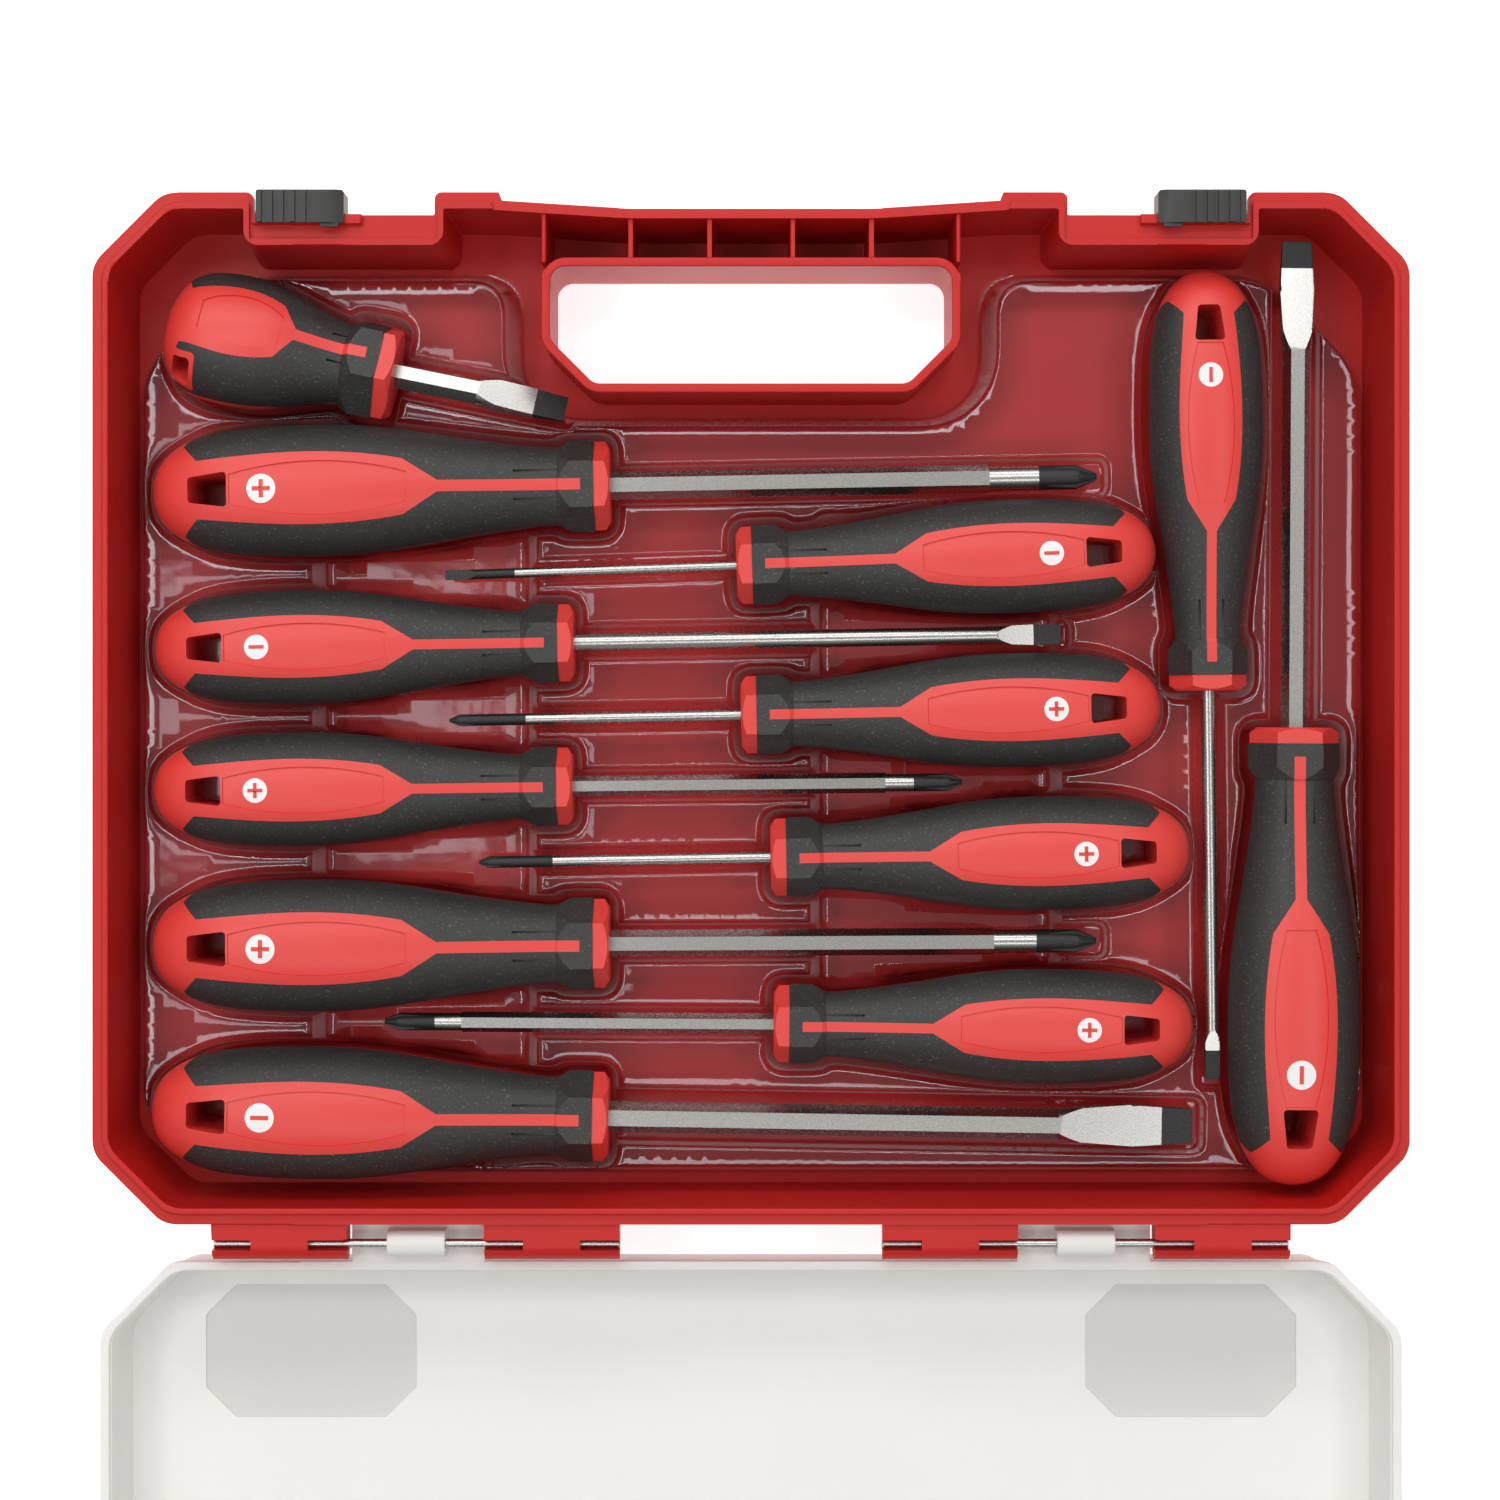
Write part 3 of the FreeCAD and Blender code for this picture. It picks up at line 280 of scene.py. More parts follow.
@dataclass(frozen=True)
class ClearSheet:
    """Thin clear formed sheet: mostly see-through, with gloss that grows at a slant, and a whitish diffuse on
    the steep bends that paints highlight lines there.
    """

    name: str
    tint: Colour
    roughness: float
    ior: float
    gloss: float
    painted_highlight: float

    def build(self) -> bpy.types.Material:
        """Make the material."""
        material, nodes = start_material(self.name)
        grain = nodes.add("ShaderNodeGroup", node_tree=Effects.mould_grain())
        grain.inputs["Grain"].default_value = 60.0
        bump = nodes.add("ShaderNodeBump", {"Height": grain.outputs["Height"], "Strength": 0.25,
                                            "Distance": 0.0006})
        rough = nodes.add("ShaderNodeMapRange", {"Value": grain.outputs["Shade"], "To Min": self.roughness,
                                                 "To Max": self.roughness + 0.08})
        gloss = nodes.add("ShaderNodeBsdfPrincipled", {
            "Base Color": (0.88, 0.88, 0.94), "Metallic": 1.0, "Roughness": rough.outputs["Result"],
            "Normal": bump.outputs["Normal"]})
        through = nodes.add("ShaderNodeBsdfTransparent", {"Color": self.tint})
        slant = nodes.add("ShaderNodeFresnel", {"IOR": self.ior, "Normal": bump.outputs["Normal"]})
        share = nodes.add("ShaderNodeMath", {0: slant.outputs["Fac"], 1: self.gloss}, operation="MULTIPLY",
                          use_clamp=True)
        clear = nodes.add("ShaderNodeMixShader", {0: share.outputs[0], 1: through.outputs[0],
                                                  2: gloss.outputs[0]})
        # Painted highlight: a whitish diffuse on the steep bends stands in for the glints along the rounded
        # edges
        bend = nodes.add("ShaderNodeAttribute", attribute_name=Tray.BEND)
        highlight_share = nodes.add("ShaderNodeMapRange", {"Value": bend.outputs["Fac"], "From Min": 0.45,
                                                 "From Max": 0.9, "To Min": 0.0, "To Max": self.painted_highlight})
        highlight_white = nodes.add("ShaderNodeBsdfDiffuse", {"Color": (0.8, 0.8, 0.82)})
        mixed = nodes.add("ShaderNodeMixShader", {0: highlight_share.outputs["Result"], 1: clear.outputs[0],
                                                  2: highlight_white.outputs[0]})
        nodes.add("ShaderNodeOutputMaterial", {"Surface": mixed.outputs[0]})
        return material


@dataclass(frozen=True)
class Finishes:
    """All finishes of the case, built once."""

    base: bpy.types.Material
    tray: bpy.types.Material
    lid: bpy.types.Material
    lid_panel: bpy.types.Material
    latch: bpy.types.Material
    pin: bpy.types.Material
    core: bpy.types.Material
    grip: bpy.types.Material
    tip: bpy.types.Material
    disc: bpy.types.Material
    floor: bpy.types.Material

    @classmethod
    def make(cls) -> "Finishes":
        """Build every material."""
        return cls(
            base=Moulding("base_red_plastic", (0.57, 0.016, 0.012), (0.50, 0.011, 0.009), 0.42, depth=0.05,
                          sheen=0.3).build(),
            # The last value is the share of painted highlight, a whitish diffuse on the bends of the sheet
            tray=ClearSheet("clear_tray_sheet", (1.0, 0.94, 0.98), 0.04, 1.5, 1.7, 0.42).build(),
            lid=Moulding("frosted_lid_plastic", (0.90, 0.89, 0.86), (0.86, 0.85, 0.82), 0.45,
                         alpha=0.8).build(),
            # Darker copy of the lid finish: painted shade for the floors of the sunk panels
            lid_panel=Moulding("frosted_lid_panel", (0.70, 0.69, 0.66), (0.66, 0.65, 0.62), 0.5,
                               alpha=0.8).build(),
            latch=Moulding("latch_black_plastic", (0.022, 0.023, 0.021), (0.016, 0.016, 0.015), 0.42).build(),
            pin=Steel("hinge_pin_steel", (0.62, 0.61, 0.60), (0.45, 0.44, 0.43), 0.28, 1.0).build(),
            core=Moulding("handle_red_plastic", (0.76, 0.056, 0.046), (0.71, 0.045, 0.037), 0.40,
                          depth=0.05).build(),
            grip=Moulding("grip_black_rubber", (0.032, 0.031, 0.029), (0.021, 0.021, 0.020), 0.55, grain=1500.0,
                          depth=0.35, speck=(0.09, 0.09, 0.087)).build(),
            tip=Steel("black_oxide_tip", (0.03, 0.031, 0.03), (0.018, 0.018, 0.018), 0.45, 0.5).build(),
            disc=Moulding("white_disc_print", (0.86, 0.85, 0.84), (0.82, 0.81, 0.8), 0.4, depth=0.02).build(),
            floor=Moulding("pale_floor", (0.9, 0.9, 0.9), (0.89, 0.89, 0.89), 0.8, depth=0.0, glow=0.7).build(),
        )


def give(obj: bpy.types.Object, *materials: bpy.types.Material) -> None:
    """Put materials in the slots of an object's mesh."""
    obj.data.materials.clear()
    for material in materials:
        obj.data.materials.append(material)


def piece_from(name: str, mesh: bpy.types.Mesh) -> bpy.types.Object:
    """Link a mesh to the scene as a new piece at the origin."""
    obj = bpy.data.objects.new(name, mesh)
    bpy.context.scene.collection.objects.link(obj)
    return obj


def taken_mesh(obj: bpy.types.Object) -> bpy.types.Mesh:
    """Mesh that an object's modifiers make; the modifiers are taken off and the object keeps its own mesh."""
    graph = bpy.context.evaluated_depsgraph_get()
    mesh = bpy.data.meshes.new_from_object(obj.evaluated_get(graph))
    obj.modifiers.clear()
    return mesh


def cut_along(work: bmesh.types.BMesh, place: Vector, normal: Vector) -> list[object]:
    """Divide the faces of a mesh along a plane.

    Args:
        work: The mesh.
        place: Point on the plane.
        normal: Direction square to the plane.

    Returns:
        Vertices and edges that lie on the plane.
    """
    everything = work.verts[:] + work.edges[:] + work.faces[:]
    found = bmesh.ops.bisect_plane(work, geom=everything, dist=ON_PLANE, plane_co=place, plane_no=normal)
    return found["geom_cut"]


def merged_copy(node: bpy.types.Object, name: str, cuts: Cuts = ()) -> bpy.types.Object:
    """Copy of a CAD node with its loose triangles joined and its flats made whole.

    Args:
        node: The CAD node.
        name: Name of the new piece.
        cuts: Planes that flats are divided at, so that none surrounds a hole, as axis number and place in mm.

    Returns:
        The new piece.
    """
    mesh = bpy.data.meshes.new(name)
    work = bmesh.new()
    work.from_mesh(node.data)
    bmesh.ops.remove_doubles(work, verts=work.verts, dist=WELD)
    bmesh.ops.dissolve_degenerate(work, edges=work.edges, dist=WELD)
    for axis, place in cuts:
        normal = Vector([float(axis == i) for i in range(3)])
        for item in cut_along(work, normal * place * MM, normal):
            if isinstance(item, bmesh.types.BMEdge):
                item.seam = True
    bmesh.ops.dissolve_limit(work, angle_limit=math.radians(FLAT), verts=work.verts, edges=work.edges,
                             delimit={"SEAM"})
    bmesh.ops.triangulate(work, faces=work.faces)
    work.to_mesh(mesh)
    work.free()
    return piece_from(name, mesh)


def soften(obj: bpy.types.Object, width: float, angle: float = 35.0, crease: float = 50.0) -> None:
    """Round the sharp edges of a piece, leave out corners that are too tight, and smooth its shading.

    Args:
        obj: The piece.
        width: Width of the rounding in metres.
        angle: Least angle of an edge that is rounded, in degrees.
        crease: Least angle of an edge that stays crisp in the shading, in degrees.
    """
    source = bmesh.new()
    source.from_mesh(obj.data)
    surface = BVHTree.FromBMesh(source)
    corners = KDTree(len(source.verts))
    for i, vert in enumerate(source.verts):
        corners.insert(vert.co, i)
    corners.balance()
    weight = source.edges.layers.float.new("bevel_weight_edge")
    for edge in source.edges:
        edge[weight] = float(len(edge.link_faces) == 2 and edge.calc_face_angle() > math.radians(angle))
    for _ in range(ROUNDS):
        source.to_mesh(obj.data)
        rounded = rounded_mesh(obj, width)
        stray = {vert.index for vert in rounded.vertices if surface.find_nearest(vert.co)[3] > STRAY * width}
        for face in rounded.polygons:
            if surface.find_nearest(face.center)[1].dot(face.normal) < TURNED:
                stray.update(face.vertices)
        if not stray:
            break
        source.verts.ensure_lookup_table()
        ring = {i for edge in rounded.edges if stray.intersection(edge.vertices) for i in edge.vertices}
        for i in stray | ring:
            for edge in source.verts[corners.find(rounded.vertices[i].co)[1]].link_edges:
                edge[weight] = 0.0
    low, high = box_of(source.verts)
    for vert in rounded.vertices:
        vert.co = [min(max(vert.co[i], low[i]), high[i]) for i in range(3)]
    source.free()
    obj.data = rounded
    even_shading(rounded, crease)


def even_shading(mesh: bpy.types.Mesh, crease: float) -> None:
    """Smooth the shading of a mesh across its shallow edges only, where large faces count most.

    Args:
        mesh: The mesh.
        crease: Least angle between faces that stay apart in the shading, in degrees.
    """
    least = math.cos(math.radians(crease))
    around: list[list[tuple[Vector, float]]] = [[] for _ in mesh.vertices]
    for face in mesh.polygons:
        for i in face.vertices:
            around[i].append((face.normal.copy(), face.area))
    normals = []
    for face in mesh.polygons:
        for i in face.vertices:
            shares = [normal * area for normal, area in around[i] if normal.dot(face.normal) > least]
            normals.append(sum(shares, Vector()).normalized())
    mesh.shade_smooth()
    mesh.normals_split_custom_set(normals)


def box_of(verts: bmesh.types.BMVertSeq) -> tuple[list[float], list[float]]:
    """Low and high corner of the box around some vertices."""
    places = np.array([tuple(vert.co) for vert in verts])
    return places.min(0).tolist(), places.max(0).tolist()


def rounded_mesh(obj: bpy.types.Object, width: float) -> bpy.types.Mesh:
    """Mesh of an object with its weighted edges rounded; the object keeps its own mesh.

    Args:
        obj: The object.
        width: Width of the rounding in metres.

    Returns:
        The new mesh.
    """
    bevel = obj.modifiers.new("rounding", "BEVEL")
    bevel.width = width
    bevel.segments = STEPS
    bevel.limit_method = "WEIGHT"
    bevel.use_clamp_overlap = False
    bevel.miter_outer = "MITER_ARC"
    return taken_mesh(obj)


@dataclass(frozen=True)
class HandleKind:
    """Outline of one kind of handle, in millimetres."""

    length: float
    swell: float
    neck: float
    collar: float
    disc_at: float
    disc_radius: float

    COLLAR_LENGTH = 10.5
    COLLAR_ROOM = 11.0
    RISE = ((0.0, 0.07), (0.0065, 0.25), (0.027, 0.49), (0.08, 0.74), (0.131, 0.866), (0.243, 0.973),
            (0.374, 1.0))
    FALL = ((0.486, 0.963), (0.598, 0.784), (0.71, 0.5), (0.822, 0.231), (0.935, 0.022), (1.0, 0.0))
    POCKET = (0.027, 0.131, 0.243, 0.374, 0.486, 0.598, 0.71, 0.88)

    @property
    def body(self) -> float:
        """Length from the butt to the collar."""
        return self.length - self.COLLAR_LENGTH

    def radius_at(self, share: float) -> float:
        """Radius at a share of the body's length."""
        shares = [row[0] for row in self.RISE + self.FALL]
        radii = [row[1] * self.swell for row in self.RISE]
        radii += [self.neck + (self.swell - self.neck) * row[1] for row in self.FALL]
        return float(np.interp(share, shares, radii))

    def pocket(self, gap: float, butt_gap: float) -> list[Point]:
        """Half outline of the pocket along the driver's axis.

        Args:
            gap: Room beside the handle.
            butt_gap: Room behind the butt.

        Returns:
            Points of distance along the axis and half width.
        """
        half = [(-butt_gap, 0.3 * self.swell)]
        half += [(share * self.body, self.radius_at(share) + gap) for share in self.POCKET]
        collar = self.collar / math.sqrt(3) + gap
        start = self.length - self.COLLAR_ROOM - gap
        half += [(start - 1.5, self.neck + gap), (start, collar), (self.length + gap, collar)]
        return half


LARGE = HandleKind(117.5, 16.75, 10.05, 20.4, 29.7, 3.7)
MEDIUM = HandleKind(107.8, 14.45, 8.35, 17.7, 27.8, 3.1)
STUBBY = HandleKind(60.0, 16.85, 10.25, 22.5, 0.0, 0.0)


@dataclass
class Driver:
    """One driver: its place in the case, its blade and its type disc, in millimetres and degrees."""

    name: str
    kind: HandleKind
    butt: Point
    turn: float
    reach: float
    shaft: float
    tip_width: float
    black: float
    mark: Mark

    AXIS_Z = 21.0
    ROUNDING = 0.35
    LEAST_EDGE = 25.0
    CREASE = 28.0

    @property
    def ahead(self) -> Vector:
        """Direction from the butt to the tip."""
        angle = math.radians(self.turn)
        return Vector((math.cos(angle), math.sin(angle), 0.0))

    def at(self, along: float, aside: float = 0.0) -> Point:
        """Place of a point given along and beside the axis."""
        ahead = self.ahead
        return (self.butt[0] + along * ahead.x - aside * ahead.y,
                self.butt[1] + along * ahead.y + aside * ahead.x)

    def dress(self, nodes: dict[str, bpy.types.Object], finishes: Finishes) -> None:
        """Give the driver its finishes, black tip and disc.

        Args:
            nodes: CAD nodes by name.
            finishes: The materials.
        """
        give(nodes[self.name + "_core"], finishes.core)
        give(nodes[self.name + "_grip"], finishes.grip)
        self.blade(nodes[self.name + "_blade"], finishes)
        if self.mark is not Mark.NONE:
            self.disc(nodes[self.name + "_core"], finishes)
        LOG.info("driver %s dressed", self.name)

    def blade(self, node: bpy.types.Object, finishes: Finishes) -> None:
        """Steel blade with a black tip that starts at a sharp line.

        Args:
            node: CAD node of the blade.
            finishes: The materials.
        """
        obj = merged_copy(node, self.name + "_bar")
        line_x, line_y = self.at(self.kind.length + self.reach - self.black)
        line = Vector((line_x, line_y, self.AXIS_Z)) * MM
        work = bmesh.new()
        work.from_mesh(obj.data)
        cut_along(work, line, self.ahead)
        bright = Steel(self.name + "_steel", (0.45, 0.44, 0.42), (0.41, 0.40, 0.385), 0.27, 1.0,
                       math.radians(self.turn)).build()
        give(obj, bright, finishes.tip)
        for face in work.faces:
            face.material_index = int((face.calc_center_median() - line).dot(self.ahead) > 0)
        work.to_mesh(obj.data)
        work.free()
        soften(obj, self.ROUNDING * MM, self.LEAST_EDGE, self.CREASE)
        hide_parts(node.name)
        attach(obj, self.name)

    def disc(self, core: bpy.types.Object, finishes: Finishes) -> None:
        """White disc with a red sign, printed on the panel of the handle.

        Args:
            core: CAD node that the disc lies on.
            finishes: The materials.
        """
        obj = piece_from(self.name + "_type_disc", bpy.data.meshes.new(self.name + "_type_disc"))
        modifier = obj.modifiers.new("print", "NODES")
        tree = TypeDisc.tree()
        modifier.node_group = tree
        x, y = self.at(self.kind.disc_at)
        values = {"Panel": core, "Centre": Vector((x, y, 0.0)) * MM, "Turn": math.radians(self.turn),
                  "Radius": self.kind.disc_radius * MM, "Second Bar": self.mark is Mark.PLUS,
                  "White": finishes.disc, "Red": finishes.core}
        for item in tree.interface.items_tree:
            if item.item_type == "SOCKET" and item.in_out == "INPUT" and item.name in values:
                modifier[item.identifier] = values[item.name]
        obj.update_tag()
        obj.data = taken_mesh(obj)
        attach(obj, self.name)


class TypeDisc:
    """Geometry Nodes tree of the printed type disc, with the bars as shares of its radius."""

    WHITE_LIFT = 0.05
    RED_LIFT = 0.09
    BAR_LENGTH = 1.25
    BAR_WIDTH = 0.3
    DROP_FROM = 0.2

    @classmethod
    def tree(cls) -> bpy.types.NodeTree:
        """Tree that lays a round disc and one or two bars on the panel below."""
        found = bpy.data.node_groups.get("type_disc")
        if found:
            return found
        tree = bpy.data.node_groups.new("type_disc", "GeometryNodeTree")
        kinds = {"Panel": "NodeSocketObject", "Centre": "NodeSocketVector", "Turn": "NodeSocketFloat",
                 "Radius": "NodeSocketFloat", "Second Bar": "NodeSocketBool", "White": "NodeSocketMaterial",
                 "Red": "NodeSocketMaterial"}
        tree.interface.new_socket("Geometry", in_out="OUTPUT", socket_type="NodeSocketGeometry")
        for name, kind in kinds.items():
            tree.interface.new_socket(name, in_out="INPUT", socket_type=kind)
        nodes = Nodes(tree)
        given = nodes.add("NodeGroupInput").outputs
        white = cls._laid(nodes, given, cls._round(nodes, given), cls.WHITE_LIFT * MM, given["White"])
        bar = cls._bar(nodes, given, 0.0)
        cross = cls._bar(nodes, given, math.pi / 2)
        chosen = nodes.add("GeometryNodeSwitch", {"Switch": given["Second Bar"], "True": cross},
                           input_type="GEOMETRY")
        bars = nodes.add("GeometryNodeJoinGeometry")
        nodes.feed(bars.inputs[0], bar)
        nodes.feed(bars.inputs[0], chosen.outputs[0])
        red = cls._laid(nodes, given, bars.outputs[0], cls.RED_LIFT * MM, given["Red"])
        both = nodes.add("GeometryNodeJoinGeometry")
        nodes.feed(both.inputs[0], white)
        nodes.feed(both.inputs[0], red)
        real = nodes.add("GeometryNodeRealizeInstances", {"Geometry": both.outputs[0]})
        nodes.add("NodeGroupOutput", {"Geometry": real.outputs[0]})
        return tree

    @staticmethod
    def _round(nodes: Nodes, given: bpy.types.bpy_prop_collection) -> bpy.types.NodeSocket:
        """Round disc: a grid bent into rings about its middle."""
        grid = nodes.add("GeometryNodeMeshGrid", {"Size X": 2 * math.pi, "Size Y": 1.0, "Vertices X": 49,
                                                  "Vertices Y": 6})
        split = nodes.add("ShaderNodeSeparateXYZ", {0: nodes.add("GeometryNodeInputPosition").outputs[0]})
        share = nodes.add("ShaderNodeMath", {0: split.outputs["Y"], 1: 0.5}, operation="ADD")
        reach = nodes.add("ShaderNodeMath", {0: share.outputs[0], 1: given["Radius"]}, operation="MULTIPLY")
        across = nodes.add("ShaderNodeMath", {0: split.outputs["X"]}, operation="COSINE")
        upward = nodes.add("ShaderNodeMath", {0: split.outputs["X"]}, operation="SINE")
        ring = nodes.add("ShaderNodeCombineXYZ", {"X": across.outputs[0], "Y": upward.outputs[0]})
        place = nodes.add("ShaderNodeVectorMath", {0: ring.outputs[0], "Scale": reach.outputs[0]},
                          operation="SCALE")
        bent = nodes.add("GeometryNodeSetPosition", {"Geometry": grid.outputs["Mesh"],
                                                     "Position": place.outputs[0]})
        merged = nodes.add("GeometryNodeMergeByDistance", {"Geometry": bent.outputs[0], "Distance": 1e-6})
        return merged.outputs[0]

    @classmethod
    def _bar(cls, nodes: Nodes, given: bpy.types.bpy_prop_collection, turn: float) -> bpy.types.NodeSocket:
        """Bar of the sign, along the axis or across it."""
        long = nodes.add("ShaderNodeMath", {0: given["Radius"], 1: cls.BAR_LENGTH}, operation="MULTIPLY")
        wide = nodes.add("ShaderNodeMath", {0: given["Radius"], 1: cls.BAR_WIDTH}, operation="MULTIPLY")
        grid = nodes.add("GeometryNodeMeshGrid", {"Size X": long.outputs[0], "Size Y": wide.outputs[0],
                                                  "Vertices X": 13, "Vertices Y": 5})
        turned = nodes.add("GeometryNodeTransform", {"Geometry": grid.outputs["Mesh"],
                                                     "Rotation": (0.0, 0.0, turn)})
        return turned.outputs[0]

    @classmethod
    def _laid(cls, nodes: Nodes, given: bpy.types.bpy_prop_collection, shape: bpy.types.NodeSocket, lift: float,
              material: bpy.types.NodeSocket) -> bpy.types.NodeSocket:
        """Turn and move a flat shape, then drop it on the panel.

        Args:
            nodes: Node builder of the tree.
            given: Inputs of the tree.
            shape: Flat geometry about the origin.
            lift: Height above the panel.
            material: Socket of its material.

        Returns:
            Socket of the finished geometry.
        """
        angle = nodes.add("ShaderNodeCombineXYZ", {"Z": given["Turn"]})
        high = nodes.add("ShaderNodeVectorMath", {0: given["Centre"], 1: (0.0, 0.0, cls.DROP_FROM)},
                         operation="ADD")
        moved = nodes.add("GeometryNodeTransform", {"Geometry": shape, "Translation": high.outputs[0],
                                                    "Rotation": angle.outputs[0]})
        panel = nodes.add("GeometryNodeObjectInfo", {"Object": given["Panel"]})
        drop = nodes.add("GeometryNodeRaycast", {"Target Geometry": panel.outputs["Geometry"],
                                                 "Ray Direction": (0.0, 0.0, -1.0), "Ray Length": 1.0})
        rest = nodes.add("ShaderNodeVectorMath", {0: drop.outputs["Hit Position"], 1: (0.0, 0.0, lift)},
                         operation="ADD")
        laid = nodes.add("GeometryNodeSetPosition", {"Geometry": moved.outputs[0], "Position": rest.outputs[0]})
        smooth = nodes.add("GeometryNodeSetShadeSmooth", {"Geometry": laid.outputs[0]})
        coloured = nodes.add("GeometryNodeSetMaterial", {"Geometry": smooth.outputs[0], "Material": material})
        return coloured.outputs[0]


@dataclass
class Space:
    """One space sunk into the tray, or the raised web itself, in millimetres."""

    outline: np.ndarray
    low: float
    high: float
    lean: float
    round_top: float
    round_low: float

    def profile(self) -> tuple[np.ndarray, np.ndarray]:
        """Heights over the distance outwards from the outline, through both rounded edges."""
        top, low, lean = self.round_top, self.round_low, self.lean
        turns = np.linspace(0.0, math.pi / 2, 4)
        foot_d = -lean - low + low * np.sin(turns)
        foot_z = self.low + low - low * np.cos(turns)
        edge_d = top - top * np.cos(turns)
        edge_z = self.high - top + top * np.sin(turns)
        return np.concatenate([foot_d, edge_d]), np.concatenate([foot_z, edge_z])

    def height(self, places: np.ndarray) -> np.ndarray:
        """Height of the sheet at each place, as this space alone forms it."""
        distance, height = self.profile()
        reach = max(-distance[0], distance[-1]) + 0.5
        near = np.all((places > self.outline.min(0) - reach) & (places < self.outline.max(0) + reach), axis=1)
        out = np.full(len(places), distance[-1] + 1.0)
        out[near] = signed_distance(places[near], self.outline)
        return np.interp(out, distance, height)

    def contours(self) -> list[np.ndarray]:
        """Lines of mesh points along the outline, one for each step of the profile."""
        ahead = np.roll(self.outline, -1, axis=0) - np.roll(self.outline, 1, axis=0)
        ahead /= np.linalg.norm(ahead, axis=1, keepdims=True)
        outward = np.column_stack([ahead[:, 1], -ahead[:, 0]])
        return [self.outline + outward * step for step in self.profile()[0]]


def signed_distance(places: np.ndarray, outline: np.ndarray) -> np.ndarray:
    """Distance of each place from a closed outline, negative inside.

    Args:
        places: Points, one per row.
        outline: Corners of the outline in order.

    Returns:
        One distance per point.
    """
    start = outline
    end = np.roll(outline, -1, axis=0)
    run = end - start
    size = np.maximum((run ** 2).sum(1), 1e-12)
    result = np.empty(len(places))
    for first in range(0, len(places), BATCH):
        part = places[first:first + BATCH, None, :]
        gap = part - start
        share = np.clip((gap * run).sum(2) / size, 0.0, 1.0)
        nearest = np.sqrt(((gap - share[..., None] * run) ** 2).sum(2).min(1))
        above = (start[:, 1] > part[..., 1]) != (end[:, 1] > part[..., 1])
        rise = np.where(np.abs(run[:, 1]) < 1e-12, 1e-12, run[:, 1])
        cross = start[:, 0] + (part[..., 1] - start[:, 1]) / rise * run[:, 0]
        inside = (above & (part[..., 0] < cross)).sum(1) % 2 == 1
        result[first:first + BATCH] = np.where(inside, -nearest, nearest)
    return result


def rounded_outline(corners: list[Point], radius: float, step: float) -> np.ndarray:
    """Closed outline with soft corners and evenly spaced points.

    Args:
        corners: Corners in counter-clockwise order.
        radius: Length of edge that each corner takes, where there is room.
        step: Distance between points.

    Returns:
        The points, one per row.
    """
    count = len(corners)
    points = []
    for i in range(count):
        here = np.array(corners[i])
        back = np.array(corners[i - 1]) - here
        ahead = np.array(corners[(i + 1) % count]) - here
        cut_back = min(radius, 0.48 * float(np.linalg.norm(back)))
        cut_ahead = min(radius, 0.48 * float(np.linalg.norm(ahead)))
        first = here + back / np.linalg.norm(back) * cut_back
        last = here + ahead / np.linalg.norm(ahead) * cut_ahead
        for share in np.linspace(0.0, 1.0, 7):
            points.append((1 - share) ** 2 * first + 2 * share * (1 - share) * here + share ** 2 * last)
    line = np.array(points)
    loop = np.vstack([line, line[:1]])
    run = np.concatenate([[0.0], np.cumsum(np.linalg.norm(np.diff(loop, axis=0), axis=1))])
    places = np.linspace(0.0, run[-1], max(12, int(run[-1] / step)), endpoint=False)
    return np.column_stack([np.interp(places, run, loop[:, 0]), np.interp(places, run, loop[:, 1])])


